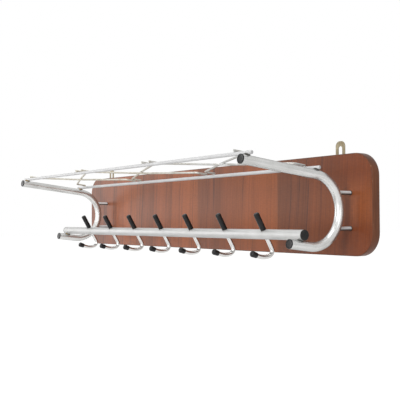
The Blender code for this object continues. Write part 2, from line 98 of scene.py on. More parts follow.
# %% [markdown]
# These work on places and colours. Noise that is stretched along one axis gives most patterns of this
# rack, from hairlines in the plating to grain in the wood.


# %% Helpers for places and colours
def stretch(tree, place, scale):
    """Multiplies a place by a scale for each axis, which makes a pattern finer along that axis."""
    return add_node(tree, "VectorMath", {0: place, 1: scale}, operation="MULTIPLY").outputs[0]


def axis_of(tree, vector, axis):
    """One axis of a place or a direction."""
    return add_node(tree, "SeparateXYZ", {0: vector}).outputs[axis]


def cloud(tree, place, scale, detail=4.0, roughness=0.55):
    """Soft noise of 0 to 1."""
    feeds = {"Vector": place, "Scale": scale, "Detail": detail, "Roughness": roughness}
    return add_node(tree, "TexNoise", feeds).outputs["Fac"]


def rgb(red, green, blue):
    """A colour for a socket, from linear values."""
    return (red, green, blue, 1.0)


def mix_colour(tree, factor, one, two, mode="MIX"):
    """Blends two colours by a factor."""
    feeds = {0: factor, 6: one, 7: two}
    return add_node(tree, "Mix", feeds, data_type="RGBA", blend_type=mode).outputs[2]


def tint(tree, colour, shade):
    """Multiplies a colour by a shade that varies round 1."""
    return mix_colour(tree, 1.0, colour, shade, "MULTIPLY")


def ramp(tree, factor, *stops):
    """Turns a factor into a colour by stops of (position, colour)."""
    node = add_node(tree, "ValToRGB", {"Fac": factor})
    marks = node.color_ramp.elements
    marks[0].position, marks[-1].position = stops[0][0], stops[-1][0]
    between = [marks.new(position) for position, _ in stops[1:-1]]
    for mark, (_, colour) in zip([marks[0], *between, marks[len(stops) - 1]], stops):
        mark.color = colour
    return node.outputs["Color"]


print("place and colour helpers ready")

# %% [markdown]
# The stage comes first, because every finish is judged under its light. The photograph is a studio
# cut-out on white with soft light from the front. The world is plain white for the camera and for
# reflections, so the plated tubes show white surroundings. For all other rays it is a weaker sky,
# because at full strength the sky and the lamps together would wash the wood out.

# %% World
SKY_LIGHT = 0.30


def seen_directly(tree):
    """1 for rays that show the background: from the camera, off a gloss, or through glass."""
    path = add_node(tree, "LightPath").outputs
    seen = calc(tree, "MAXIMUM", path["Is Camera Ray"], path["Is Glossy Ray"])
    return calc(tree, "MAXIMUM", seen, path["Is Transmission Ray"])


world = bpy.data.worlds.new("white_studio")
world.use_nodes = True
tree = world.node_tree
tree.nodes.clear()
strength = spread(tree, seen_directly(tree), SKY_LIGHT, 1.0)
background = add_node(tree, "Background", {"Color": rgb(1, 1, 1), "Strength": strength})
add_node(tree, "OutputWorld", {"Surface": background.outputs[0]})
bpy.context.scene.world = world
bpy.context.scene.view_settings.view_transform = "Standard"
print("world: sky light", SKY_LIGHT)

# %% [markdown]
# Four area lamps give the soft light. The key is a large softbox, some six metres off and a little to
# the right of the front: from there the tubes throw their shadows on the board close beside themselves,
# and its size keeps those shadows soft. A lamp at the far left lies where the left part of the board
# mirrors it, which pales the veneer there. A wide lamp overhead lights the tops of the pins, and a small
# one at the right draws a highlight on the outer side of the bends.


# %% Lamps
def into_scene(name, data):
    """A new object in the scene."""
    thing = bpy.data.objects.new(name, data)
    bpy.context.scene.collection.objects.link(thing)
    return thing


def add_lamp(name, place, aim, width, height, power):
    """A rectangular softbox that looks at a point."""
    data = bpy.data.lights.new(name, "AREA")
    data.shape = "RECTANGLE"
    data.size = width
    data.size_y = height
    data.energy = power
    lamp = into_scene(name, data)
    lamp.location = place
    lamp.rotation_euler = (Vector(aim) - Vector(place)).to_track_quat("-Z", "Y").to_euler()


add_lamp("key_softbox", (2.0, -5.6, 0.9), (0.1, 0.0, 0.0), 2.4, 3.4, 235)
add_lamp("left_softbox", (-3.3, -2.0, 0.2), (0.0, -0.1, 0.0), 3.0, 2.0, 27)
add_lamp("overhead_softbox", (0.2, -0.9, 2.6), (0.0, -0.1, 0.0), 2.4, 1.6, 40)
add_lamp("right_fill", (2.9, -0.9, 0.5), (0.3, -0.1, 0.0), 1.4, 1.4, 8)
print("lamps:", [light.name for light in bpy.data.lights])

# %% [markdown]
# A finish starts with the Principled shader and the Object coordinates, which are the frame's metres, so
# a scale of 100 in a pattern means features of about 10 mm. Numbers that are the same all over a surface
# are set on the shader itself, and only what changes over the surface comes from nodes. What several
# finishes share becomes a node group with named sockets.


# %% A new finish, and a new group
def new_finish(name, metallic, **plain):
    """A material with its tree, shader and place. Plain values go on the shader's own sockets."""
    material = bpy.data.materials.new(name)
    material.use_nodes = True
    shader = material.node_tree.nodes["Principled BSDF"]
    shader.inputs["Metallic"].default_value = metallic
    for socket, value in plain.items():
        shader.inputs[socket.replace("_", " ")].default_value = value
    place = add_node(material.node_tree, "TexCoord").outputs["Object"]
    return material, material.node_tree, shader, place


def connect(tree, shader, colour, roughness, height, depth):
    """Feeds a shader with its colour and roughness, and with a bump of a depth in metres."""
    tree.links.new(colour, shader.inputs["Base Color"])
    tree.links.new(roughness, shader.inputs["Roughness"])
    bump = add_node(tree, "Bump", {"Height": height, "Distance": depth})
    tree.links.new(bump.outputs["Normal"], shader.inputs["Normal"])


def new_group(name, inputs, outputs):
    """An empty node group with named sockets, and the sockets to build it between."""
    group = bpy.data.node_groups.new(name, "ShaderNodeTree")
    for side, sockets in (("INPUT", inputs), ("OUTPUT", outputs)):
        for socket, kind in sockets.items():
            group.interface.new_socket(socket, in_out=side, socket_type="NodeSocket" + kind)
    return group, group.nodes.new("NodeGroupInput").outputs, group.nodes.new("NodeGroupOutput").inputs


def put_out(tree, result, sockets):
    """Joins what a group has made to its outputs."""
    for name, socket in sockets.items():
        tree.links.new(socket, result[name])


print("finish helpers ready")

# %% [markdown]
# The rack hangs on a wall, so the floor lies well below it. The floor is a pale matt sheet that takes
# the soft shadow. A part of its white glows for the camera and for reflections only, which lifts it to
# the white of the background without lighting the matt surfaces of the rack.

# %% Floor
FLOOR_DROP = 0.95
FLOOR_HALF = 40.0
FLOOR_GLOW = 0.85


def mesh_object(name, form):
    """Turns a form into a mesh object in the scene."""
    mesh = bpy.data.meshes.new(name)
    form.to_mesh(mesh)
    form.free()
    return into_scene(name, mesh)


floor_finish, tree, shader, place = new_finish("pale_floor", 0.0, Roughness=0.9, Specular_IOR_Level=0.1)
mottle = cloud(tree, place, 3.0)
floor_colour = ramp(tree, mottle, (0.3, rgb(0.52, 0.52, 0.52)), (0.7, rgb(0.56, 0.56, 0.555)))
tree.links.new(floor_colour, shader.inputs["Base Color"])
glow = add_node(tree, "Emission", {"Strength": calc(tree, "MULTIPLY", seen_directly(tree), FLOOR_GLOW)})
both = add_node(tree, "AddShader", {0: shader.outputs[0], 1: glow.outputs[0]})
tree.links.new(both.outputs[0], tree.nodes["Material Output"].inputs["Surface"])

sheet = bmesh.new()
bmesh.ops.create_grid(sheet, x_segments=8, y_segments=8, size=FLOOR_HALF,
                      matrix=Matrix.Translation((0, 0, -FLOOR_DROP)))
floor = mesh_object("studio_floor", sheet)
floor.data.materials.append(floor_finish)
print("floor at", -FLOOR_DROP, "m")

# %% [markdown]
# The camera was worked out from the photograph: the board, tubes, rods and hooks were measured in its
# pixels, and the place, direction and focal length that put the solids on those pixels were solved for.
# It stands low at the right front and looks slightly up along the rack.

# %% Camera
CAMERA_PLACE = Vector((1722.26, -1201.67, -32.70)) * MM
CAMERA_YAW = 0.96523
CAMERA_PITCH = 0.02725
CAMERA_ROLL = -0.00390
FOCAL_PIXELS = 753.26
IMAGE_SIDE = 400

lens = bpy.data.cameras.new("photo_camera")
lens.sensor_width = 36.0
lens.lens = lens.sensor_width * FOCAL_PIXELS / IMAGE_SIDE
lens.clip_start = 0.05
camera = into_scene("photo_camera", lens)
turn = Matrix.Rotation(CAMERA_YAW, 4, "Z") @ Matrix.Rotation(math.pi / 2 + CAMERA_PITCH, 4, "X")
camera.matrix_world = Matrix.Translation(CAMERA_PLACE) @ turn @ Matrix.Rotation(CAMERA_ROLL, 4, "Z")
bpy.context.scene.camera = camera
print("camera: lens", round(lens.lens, 2), "mm")

# %% [markdown]
# Old plating. The tubes, rods, wires and screws are plated steel that has been handled for decades:
# cloudy patches where the shine has gone, hairlines from wiping, and a few brown pits. Broader bars along
# the stock are painted reflections: they lighten and darken the colour as mirrored streaks of light
# would. All plated finishes share this, so it is one group. Each finish gives it its own colours and the
# direction in which hairlines run, as a stretched place.

# %% Group: old plating
plating, given, result = new_group(
    "old_plating",
    {"Place": "Vector", "Hairline Place": "Vector", "Bright": "Color", "Cloudy": "Color",
     "Pit": "Color", "Patch Scale": "Float", "Pit Cover": "Float", "Smooth": "Float",
     "Rough": "Float", "Shine": "Float"},
    {"Color": "Color", "Roughness": "Float", "Height": "Float"})
tree = plating
patches = cloud(tree, given["Place"], given["Patch Scale"], 5.0, 0.6)
patches = step_between(tree, patches, 0.32, 0.72)
hairlines = cloud(tree, given["Hairline Place"], 1.0, 3.0, 0.7)
# Painted reflection: broad bars along the stock lighten and darken the colour like mirrored streaks.
painted_reflection_bars = cloud(tree, stretch(tree, given["Hairline Place"], (0.35, 0.35, 0.35)), 1.0, 2.0)
painted_reflection_bars = calc(tree, "MULTIPLY", calc(tree, "SUBTRACT", painted_reflection_bars, 0.5), given["Shine"])
speckle = cloud(tree, given["Place"], 900.0, 2.0)
pit_field = cloud(tree, given["Place"], 55.0, 3.0)
pit_edge = calc(tree, "SUBTRACT", 0.86, calc(tree, "MULTIPLY", pit_field, given["Pit Cover"]))
pits = step_between(tree, speckle, pit_edge, calc(tree, "ADD", pit_edge, 0.06))
tone = mix_colour(tree, patches, given["Bright"], given["Cloudy"])
tone = tint(tree, tone, spread(tree, hairlines, 0.94, 1.06))
tone = tint(tree, tone, calc(tree, "ADD", painted_reflection_bars, 1.0))
tone = mix_colour(tree, pits, tone, given["Pit"])
dulled = calc(tree, "ADD", patches, calc(tree, "MULTIPLY", hairlines, 0.35))
dulled = calc(tree, "ADD", dulled, pits, clamp=True)
wear = spread(tree, dulled, given["Smooth"], given["Rough"])
relief = calc(tree, "SUBTRACT", calc(tree, "MULTIPLY", hairlines, 0.4), pits)
put_out(tree, result, {"Color": tone, "Roughness": wear, "Height": relief})
print("group:", plating.name, len(plating.nodes), "nodes")

# %% [markdown]
# Hairlines follow the stock. On the rods and the rail that is the X axis, but a bent tube turns back on
# itself. A second group unrolls the bracket: it tips the place level, and measures how far it lies from
# the bend's centre and how far along the tube's middle line. A pattern that is long along X then runs
# along the arms and round the bend.

# %% Group: straightened bracket
BEND_CENTRE = Vector((0, -129, -13)) * MM
BEND_RADIUS = 75 * MM
BRACKET_TILT = 7

straightened, given, result = new_group("straightened_bracket", {"Place": "Vector"}, {"Straight": "Vector"})
tree = straightened
tip_back = {"Vector": given["Place"], "Center": BEND_CENTRE, "Angle": math.radians(BRACKET_TILT)}
tipped = add_node(tree, "VectorRotate", tip_back, rotation_type="X_AXIS").outputs[0]
level = add_node(tree, "VectorMath", {0: tipped, 1: BEND_CENTRE}, operation="SUBTRACT").outputs[0]
axes = add_node(tree, "SeparateXYZ", {0: level}).outputs
behind = calc(tree, "MAXIMUM", axes["Y"], 0.0)
ahead = calc(tree, "MINIMUM", axes["Y"], 0.0)
spoke = add_node(tree, "CombineXYZ", {"Y": behind, "Z": axes["Z"]}).outputs[0]
reach = add_node(tree, "VectorMath", {0: spoke}, operation="LENGTH").outputs["Value"]
round_bend = calc(tree, "MULTIPLY", calc(tree, "ARCTAN2", behind, axes["Z"]), BEND_RADIUS)
on_arm = calc(tree, "MULTIPLY", ahead, calc(tree, "SIGN", axes["Z"]))
along = calc(tree, "ADD", round_bend, on_arm)
straight = add_node(tree, "CombineXYZ", {"X": along, "Y": reach, "Z": axes["X"]}).outputs[0]
put_out(tree, result, {"Straight": straight})
print("group:", straightened.name, len(straightened.nodes), "nodes")

# %% [markdown]
# The metals. The rail has a satin gloss with hairlines along its length. The bent tubes still mirror
# their surroundings, and their colour carries the strongest painted bars of reflection, which run round
# the bend. The rods are duller, and the hooks, which coats keep rubbing, mirror most. The thin shelf
# wires have yellowed. Screws are plain zinc, and the hanger tabs are sheet with a tan passivated skin.
# The relief is only a few thousandths of a millimetre, because deeper scratches would break the gloss
# into specks.

# %% Metal finishes
PIT_BROWN = rgb(0.20, 0.13, 0.08)
LENGTHWISE = (22, 380, 380)
EVEN = (420, 420, 420)


def metal(name, bright, cloudy, smooth, rough, patch=30.0, cover=0.22, lines=LENGTHWISE, metallic=1.0,
          bent=False, shine=0.0, rim=1.0, relief=6 * MICRON):
    """A plated metal from the shared group. A rim below 1 dims what it mirrors at a glancing angle."""
    finish, tree, shader, place = new_finish(name, metallic, Specular_Tint=rgb(rim, rim, rim))
    stock = add_node(tree, "Group", {"Place": place}, node_tree=straightened).outputs[0] if bent else place
    feeds = {"Place": place, "Hairline Place": stretch(tree, stock, lines), "Bright": bright,
             "Cloudy": cloudy, "Pit": PIT_BROWN, "Patch Scale": patch, "Pit Cover": cover,
             "Smooth": smooth, "Rough": rough, "Shine": shine}
    worn = add_node(tree, "Group", feeds, node_tree=plating).outputs
    connect(tree, shader, worn["Color"], worn["Roughness"], worn["Height"], relief)
    return finish


satin_tube = metal("satin_tube_plating", rgb(0.53, 0.53, 0.525), rgb(0.485, 0.485, 0.475), 0.34, 0.40,
                   metallic=0.3, cover=0.1, shine=0.3, rim=0.6)
bent_tube = metal("bent_tube_plating", rgb(0.635, 0.635, 0.625), rgb(0.565, 0.565, 0.55), 0.24, 0.26,
                  metallic=0.75, cover=0.02, bent=True, shine=0.8, rim=0.35, relief=1.5 * MICRON)
bright_rod = metal("bright_rod_plating", rgb(0.56, 0.56, 0.565), rgb(0.51, 0.51, 0.51), 0.40, 0.46,
                   metallic=0.25, cover=0.1, rim=0.6, relief=2 * MICRON)
bright_hook = metal("bright_hook_plating", rgb(0.60, 0.595, 0.585), rgb(0.53, 0.52, 0.505), 0.12, 0.15,
                    lines=EVEN)
yellowed_wire = metal("yellowed_wire_plating", rgb(0.56, 0.54, 0.48), rgb(0.42, 0.385, 0.315), 0.40, 0.50,
                      patch=70.0, cover=0.34, metallic=0.7, lines=EVEN)
zinc_pin = metal("zinc_dipped_pin", rgb(0.80, 0.87, 0.90), rgb(0.72, 0.79, 0.81), 0.26, 0.40,
                 patch=120.0, metallic=0.1, lines=EVEN)
zinc_screw = metal("zinc_screw_plating", rgb(0.54, 0.54, 0.53), rgb(0.38, 0.375, 0.36), 0.28, 0.48,
                   patch=160.0, cover=0.34, lines=(900, 900, 900))
tan_sheet = metal("tan_passivated_sheet", rgb(0.28, 0.24, 0.165), rgb(0.225, 0.18, 0.11), 0.40, 0.55,
                  patch=90.0, cover=0.3, lines=(800, 400, 60))
print("metals:", [finish.name for finish in bpy.data.materials if finish != floor_finish])

# %% [markdown]
# Two metals change over the rack. The shelf wires are cleaner towards the right end, so their colour is
# multiplied by a cooler one along X. The pins were only zinc-dipped, so they scatter more light than
# they mirror. Their undersides get painted shade: the colour turns dark where the surface faces down,
# which the direction of the surface tells.


# %% Cleaner wires and pins with painted shade underneath
def recolour(finish, node, socket, axis, low, high, colour, mode="MIX"):
    """Blends a colour into a finish where one axis of a node's place or direction passes a step."""
    tree = finish.node_tree
    base = tree.nodes["Principled BSDF"].inputs["Base Color"]
    plated = base.links[0].from_socket
    where = step_between(tree, axis_of(tree, add_node(tree, node).outputs[socket], axis), low, high)
    tree.links.new(mix_colour(tree, where, plated, colour, mode), base)


recolour(yellowed_wire, "TexCoord", "Object", "X", -0.1, 0.4, rgb(0.86, 0.90, 1.0), "MULTIPLY")
# Painted shade: the pins' colour is darkened where their surface faces down.
recolour(zinc_pin, "NewGeometry", "Normal", "Z", -0.05, -0.6, rgb(0.06, 0.055, 0.05))
print("recoloured:", yellowed_wire.name, "and", zinc_pin.name)

# %% [markdown]
# Braze is the soft brass-coloured solder that joins rods and rail to the arms. It was never polished, so
# it is dull, brown from its flux, and grainy. Towards the right end it turns dark grey.

# %% Braze finish
dull_braze, tree, shader, place = new_finish("dull_braze", 1.0)
crust = cloud(tree, place, 420.0, 5.0, 0.65)
brassy = ramp(tree, crust, (0.32, rgb(0.10, 0.07, 0.035)), (0.52, rgb(0.27, 0.19, 0.085)),
              (0.72, rgb(0.42, 0.32, 0.16)))
# Towards the right end the braze's colour turns dark grey.
dark_grey_tone = ramp(tree, crust, (0.3, rgb(0.03, 0.03, 0.03)), (0.75, rgb(0.13, 0.12, 0.105)))
right_end_share = step_between(tree, axis_of(tree, place, "X"), 0.3, 0.5)
braze_colour = mix_colour(tree, right_end_share, brassy, dark_grey_tone)
connect(tree, shader, braze_colour, spread(tree, crust, 0.62, 0.38), crust, 400 * MICRON)
print("finish:", dull_braze.name)

# %% [markdown]
# The plugs, grips and tips are moulded charcoal plastic. The mould left a faint grain, handling has
# polished some of it, and pale dust lies on it. The dust is a very small change of colour, because the
# plastic reads as nearly black in the photograph.

# %% Plastic finish
charcoal_plastic, tree, shader, place = new_finish("charcoal_plastic", 0.0, Specular_IOR_Level=0.2)
grain = cloud(tree, place, 1500.0, 2.0)
rubbed = step_between(tree, cloud(tree, place, 75.0, 4.0), 0.36, 0.68)
dust = step_between(tree, cloud(tree, place, 240.0, 6.0, 0.7), 0.54, 0.80)
body_colour = ramp(tree, rubbed, (0.0, rgb(0.010, 0.010, 0.0105)), (1.0, rgb(0.018, 0.017, 0.017)))
body_colour = mix_colour(tree, calc(tree, "MULTIPLY", dust, 0.3), body_colour, rgb(0.075, 0.072, 0.068))
gloss = calc(tree, "ADD", spread(tree, rubbed, 0.30, 0.18), calc(tree, "MULTIPLY", dust, 0.14))
connect(tree, shader, body_colour, gloss, grain, 20 * MICRON)
print("finish:", charcoal_plastic.name)

# %% [markdown]
# The thin rings under the pins are dark rubber, matt and slightly grey. They stand for the contact
# shade round each pin's foot: painted shade put in as a dark part.

# %% Rubber finish
pin_shade_rubber, tree, shader, place = new_finish("pin_shade_rubber", 0.0, Specular_IOR_Level=0.3)
bloom = cloud(tree, place, 500.0, 4.0)
rubber_colour = ramp(tree, bloom, (0.35, rgb(0.012, 0.012, 0.012)), (0.75, rgb(0.040, 0.038, 0.036)))
connect(tree, shader, rubber_colour, spread(tree, bloom, 0.62, 0.78), bloom, 100 * MICRON)
print("finish:", pin_shade_rubber.name)

# %% [markdown]
# Wood grain. The board's grain runs upright: broad bands, fine streaks and short dark pores, all long in
# Z and narrow in X. A faint ripple crosses it, as in much reddish veneer. The face and the back of the
# board use it with different colours, so it is a group. The place is bent a little sideways by slow noise
# first, because no grain is ruled with a straight edge. Each pattern is one noise with its own stretch,
# detail and roughness.

# %% Group: upright grain
GRAIN_PATTERNS = {
    "Bands": ((26.0, 5.0, 0.7), 3.0, 0.55),
    "Streaks": ((150.0, 5.0, 1.6), 4.0, 0.65),
    "Hairs": ((620.0, 9.0, 7.0), 3.0, 0.7),
    "Pores": ((1900.0, 9.0, 55.0), 2.0, 0.6),
    "Ripple": ((90.0, 5.0, 420.0), 3.0, 0.6),
}
WANDER = 22 * MM

upright_grain, given, result = new_group(
    "upright_grain", {"Place": "Vector"}, dict.fromkeys(GRAIN_PATTERNS, "Float"))
tree = upright_grain
wander = cloud(tree, stretch(tree, given["Place"], (3.0, 1.0, 3.6)), 1.0, 2.0)
wander = calc(tree, "MULTIPLY", calc(tree, "SUBTRACT", wander, 0.5), WANDER)
sideways = add_node(tree, "CombineXYZ", {"X": wander}).outputs[0]
wavy = add_node(tree, "VectorMath", {0: given["Place"], 1: sideways}, operation="ADD").outputs[0]
patterns = {name: cloud(tree, stretch(tree, wavy, scale), 1.0, detail, roughness)
            for name, (scale, detail, roughness) in GRAIN_PATTERNS.items()}
patterns["Pores"] = step_between(tree, patterns["Pores"], 0.60, 0.72)
put_out(tree, result, patterns)
print("group:", upright_grain.name, len(upright_grain.nodes), "nodes")

# %% [markdown]
# The face is slip-matched: leaves cut one after the other from the same log are laid side by side, so
# the same figure starts anew every 336 mm. A leaf begins with a dark grey-brown stretch at its left and
# turns redder and lighter to its right. The place within the leaf is what is left after dividing X by
# the leaf's width. The leaf's number moves the grain a little, because each slice lies slightly deeper
# in the log. The number also darkens the leaves from left to right: painted light and shade, lighter
# at the left end and darker at the right, as the lamps and the sheen fall on the board. The grain also
# leans a little, as the leaves were cut askew.

# %% Leaves of the veneer
LEAF_WIDTH = 336 * MM
LEAF_SEAM = 8 * MM
SLICE_STEP = 60 * MM
GRAIN_LEAN = 0.06

veneer_face, tree, shader, place = new_finish("slip_matched_veneer", 0.0, Specular_IOR_Level=0.26)
axes = add_node(tree, "SeparateXYZ", {0: place}).outputs
leaves = calc(tree, "DIVIDE", calc(tree, "SUBTRACT", axes["X"], LEAF_SEAM), LEAF_WIDTH)
number = calc(tree, "FLOOR", leaves)
across = calc(tree, "FRACT", leaves)
leaf_x = calc(tree, "MULTIPLY", across, LEAF_WIDTH)
leaning_x = calc(tree, "SUBTRACT", leaf_x, calc(tree, "MULTIPLY", axes["Z"], GRAIN_LEAN))
slice_y = calc(tree, "MULTIPLY", number, SLICE_STEP)
leaf_place = add_node(tree, "CombineXYZ", {"X": leaning_x, "Y": slice_y, "Z": axes["Z"]}).outputs[0]
figure = add_node(tree, "Group", {"Place": leaf_place}, node_tree=upright_grain).outputs
drift = calc(tree, "MULTIPLY", calc(tree, "SUBTRACT", figure["Streaks"], 0.5), 0.16)
leaf_tone = ramp(tree, calc(tree, "ADD", across, drift),
                 (0.00, rgb(0.200, 0.060, 0.021)), (0.06, rgb(0.184, 0.054, 0.020)),
                 (0.28, rgb(0.174, 0.051, 0.019)), (0.34, rgb(0.210, 0.058, 0.019)),
                 (0.60, rgb(0.230, 0.063, 0.019)), (0.78, rgb(0.274, 0.073, 0.020)),
                 (0.95, rgb(0.252, 0.069, 0.019)), (1.00, rgb(0.205, 0.059, 0.019)))
# Painted light and shade: each leaf further right is darker, so the left end reads lighter.
painted_light_by_leaf = {"Value": number, "From Min": -1.0, "To Min": 1.06, "To Max": 0.79}
leaf_tone = tint(tree, leaf_tone, add_node(tree, "MapRange", painted_light_by_leaf).outputs["Result"])
print("veneer: leaves of", LEAF_WIDTH, "m")

# %% [markdown]
# The figure is laid over the leaf's tone. Dark veins stand in the streaks, mostly in the dark stretch of
# a leaf, and each pattern then shades the wood round its mean. At the right end the board is painted
# darker above and below its middle: painted shade, which leaves the middle looking lit. Satin lacquer
# closes the wood, and the pores break its gloss a little.

# %% Veneer finish
PATTERN_SHADES = {"Bands": 0.38, "Streaks": 0.34, "Hairs": 0.24, "Ripple": 0.24}
SHADE_MIDDLE_HEIGHT = 5 * MM

plain_side = step_between(tree, across, 0.28, 0.36)
vein = step_between(tree, figure["Streaks"], 0.46, 0.34)
vein = calc(tree, "MULTIPLY", vein, spread(tree, plain_side, 0.85, 0.35))
wood = mix_colour(tree, vein, leaf_tone, rgb(0.055, 0.021, 0.015))
for name, shade in PATTERN_SHADES.items():
    wood = tint(tree, wood, spread(tree, figure[name], 1 - shade, 1 + shade))
# Painted shade: at the right end the wood above and below the middle is darkened.
from_middle = calc(tree, "ABSOLUTE", calc(tree, "SUBTRACT", axes["Z"], SHADE_MIDDLE_HEIGHT))
painted_shade_band = calc(tree, "MULTIPLY", step_between(tree, from_middle, 15 * MM, 65 * MM),
              step_between(tree, axes["X"], 400 * MM, 600 * MM))
wood = mix_colour(tree, painted_shade_band, wood, rgb(0.71, 0.61, 0.51), "MULTIPLY")
wood = mix_colour(tree, calc(tree, "MULTIPLY", figure["Pores"], 0.55), wood, rgb(0.055, 0.026, 0.018))
lacquer = spread(tree, figure["Hairs"], 0.30, 0.38)
lacquer = calc(tree, "ADD", lacquer, calc(tree, "MULTIPLY", figure["Pores"], 0.12))
relief = calc(tree, "SUBTRACT", calc(tree, "MULTIPLY", figure["Hairs"], 0.3), figure["Pores"])
connect(tree, shader, wood, lacquer, relief, 50 * MICRON)
print("finish:", veneer_face.name)

# %% [markdown]
# The back of the board, which hangs against the wall, has a plain counter-veneer without lacquer: the
# same grain in a paler, matt brown, with grey smudges from handling.

# %% Backing finish
board_back, tree, shader, place = new_finish("plain_counter_veneer", 0.0, Specular_IOR_Level=0.25)
figure = add_node(tree, "Group", {"Place": place}, node_tree=upright_grain).outputs
back_tone = ramp(tree, figure["Bands"], (0.30, rgb(0.200, 0.105, 0.062)), (0.70, rgb(0.290, 0.165, 0.100)))
back_tone = tint(tree, back_tone, spread(tree, figure["Streaks"], 0.78, 1.18))
pores = calc(tree, "MULTIPLY", figure["Pores"], 0.5)
back_tone = mix_colour(tree, pores, back_tone, rgb(0.07, 0.035, 0.02))
smudge = step_between(tree, cloud(tree, place, 9.0, 5.0), 0.50, 0.80)
back_tone = mix_colour(tree, calc(tree, "MULTIPLY", smudge, 0.35), back_tone, rgb(0.15, 0.11, 0.085))
matt = spread(tree, figure["Hairs"], 0.58, 0.74)
connect(tree, shader, back_tone, matt, figure["Streaks"], 120 * MICRON)
print("finish:", board_back.name)

# %% [markdown]
# The edge is a thin dark lipping. Its streaks run along the board's outline, so the pattern is fine
# across the board's thickness, which is Y, and long in the other two directions. Its front arris and its
# top get painted shade: their colour is darkened where the surface faces forwards or up, which the
# direction of the surface finds. Along the front rim small chips show the paler wood beneath. They appear
# only close to the rim, where knocks land, and only where a noise is high.

# %% Edge finish
BOARD_THICKNESS = 21 * MM

dark_edge, tree, shader, place = new_finish("dark_lipping", 0.0, Specular_IOR_Level=0.2)
lipping = cloud(tree, stretch(tree, place, (14.0, 900.0, 14.0)), 1.0, 4.0, 0.65)
blotch = cloud(tree, place, 26.0, 4.0)
edge_tone = ramp(tree, lipping, (0.30, rgb(0.125, 0.042, 0.020)), (0.70, rgb(0.225, 0.080, 0.036)))
edge_tone = tint(tree, edge_tone, spread(tree, blotch, 0.75, 1.25))
# Painted shade: faces of the lipping that look forwards or up are darkened in colour.
facing = add_node(tree, "NewGeometry").outputs["Normal"]
painted_shade_on_edge = calc(tree, "MAXIMUM", step_between(tree, axis_of(tree, facing, "Y"), -0.25, -0.8),
               step_between(tree, axis_of(tree, facing, "Z"), 0.2, 0.8))
edge_tone = mix_colour(tree, calc(tree, "MULTIPLY", painted_shade_on_edge, 0.6), edge_tone, rgb(0.030, 0.012, 0.008))
depth = calc(tree, "MULTIPLY", axis_of(tree, place, "Y"), -1.0)
near_rim = step_between(tree, depth, BOARD_THICKNESS - 2.6 * MM, BOARD_THICKNESS - 0.5 * MM)
knocks = calc(tree, "MULTIPLY", cloud(tree, place, 95.0, 6.0, 0.7), near_rim)
chips = step_between(tree, knocks, 0.57, 0.64)
edge_tone = mix_colour(tree, chips, edge_tone, rgb(0.36, 0.20, 0.10))
edge_gloss = calc(tree, "ADD", spread(tree, lipping, 0.36, 0.48), calc(tree, "MULTIPLY", chips, 0.25))
connect(tree, shader, edge_tone, edge_gloss, calc(tree, "SUBTRACT", lipping, chips), 150 * MICRON)
print("finish:", dark_edge.name)

# %% [markdown]
# Pieces. Every piece ends the same way: doubled points are welded, faces are turned outwards, edges
# sharper than a set angle stay crisp while the rest shades smoothly, and the object rides on its body.
# The piece is compared with the solid that it stands for, so a slip in a size shows up at once in the
# printed list.

# %% From a form to a piece
WELD = 0.001 * MM
CRISP_ANGLE = math.radians(33)


def misfit(piece, nodes):
    """How far the sides of a piece's box lie from those of the first solid that it stands for."""
    if not nodes:
        return 0.0
    low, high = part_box(nodes[0])
    return max(abs(end[axis] - pick(corner[axis] for corner in piece.bound_box))
               for end, pick in ((low, min), (high, max)) for axis in range(3))


def add_piece(form, name, finish, body, slot, *nodes):
    """Makes a finished object of a form, rides it on a body and lets it stand for CAD nodes."""
    bmesh.ops.remove_doubles(form, verts=form.verts, dist=WELD)
    bmesh.ops.recalc_face_normals(form, faces=form.faces)
    open_edges = sum(not edge.is_manifold for edge in form.edges)
    piece = mesh_object(name, form)
    mesh = piece.data
    mesh.shade_smooth()
    mesh.set_sharp_from_angle(angle=CRISP_ANGLE)
    mesh.materials.append(finish)
    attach(piece, body)
    if nodes:
        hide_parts(*nodes)
    off = misfit(piece, nodes) / MM
    print(f"{name}: {len(mesh.polygons)} faces, {open_edges} open edges, off its solid by {off:.2f} mm")
    return piece


print("piece helper ready")

# %% [markdown]
# Forms are built about the origin and then moved to their place by a product of matrices, as a part is
# clamped in one place on the bench and fitted in another.

# %% Moving a form
shift = Matrix.Translation


def turn_about(axis, degrees):
    """A turn about an axis through the origin."""
    return Matrix.Rotation(math.radians(degrees), 4, axis)


def place_at(form, *steps):
    """Moves a form by the product of matrices, the last one first."""
    whole = Matrix.Identity(4)
    for step in steps:
        whole = whole @ step
    bmesh.ops.transform(form, matrix=whole, verts=form.verts)
    return form


print("moving helpers ready")

# %% [markdown]
# Most pieces start in one of three ways. Flat ones are slabs: one upright face whose corners are rounded
# by a vertex bevel and which is then extruded. Round ones with an axis are turned: half a profile is
# drawn, its corners are rounded, and it is spun. Tubes and wires go through a bender, which comes later.


# %% Slabs and turned pieces
def of_kind(items, kind):
    """The points or the edges among what an operator made."""
    return [item for item in items if isinstance(item, kind)]


def round_off(form, geom, size, segments, affect):
    """Bevels points or edges to a round."""
    bmesh.ops.bevel(form, geom=geom, offset=size, segments=segments, profile=0.5, affect=affect,
                    material=-1)


def slab(width, height, thickness, rounding, segments=16):
    """An upright slab about the origin. Its back lies on Y = 0 and its front faces -Y."""
    form = bmesh.new()
    upright = turn_about("X", 90) @ Matrix.Diagonal((width, height, 1, 1))
    bmesh.ops.create_grid(form, x_segments=1, y_segments=1, size=0.5, matrix=upright)
    if rounding:
        round_off(form, form.verts[:], rounding, segments, "VERTICES")
    grown = bmesh.ops.extrude_face_region(form, geom=form.faces[:])["geom"]
    bmesh.ops.translate(form, verts=of_kind(grown, bmesh.types.BMVert), vec=(0, -thickness, 0))
    bmesh.ops.recalc_face_normals(form, faces=form.faces)
    return form


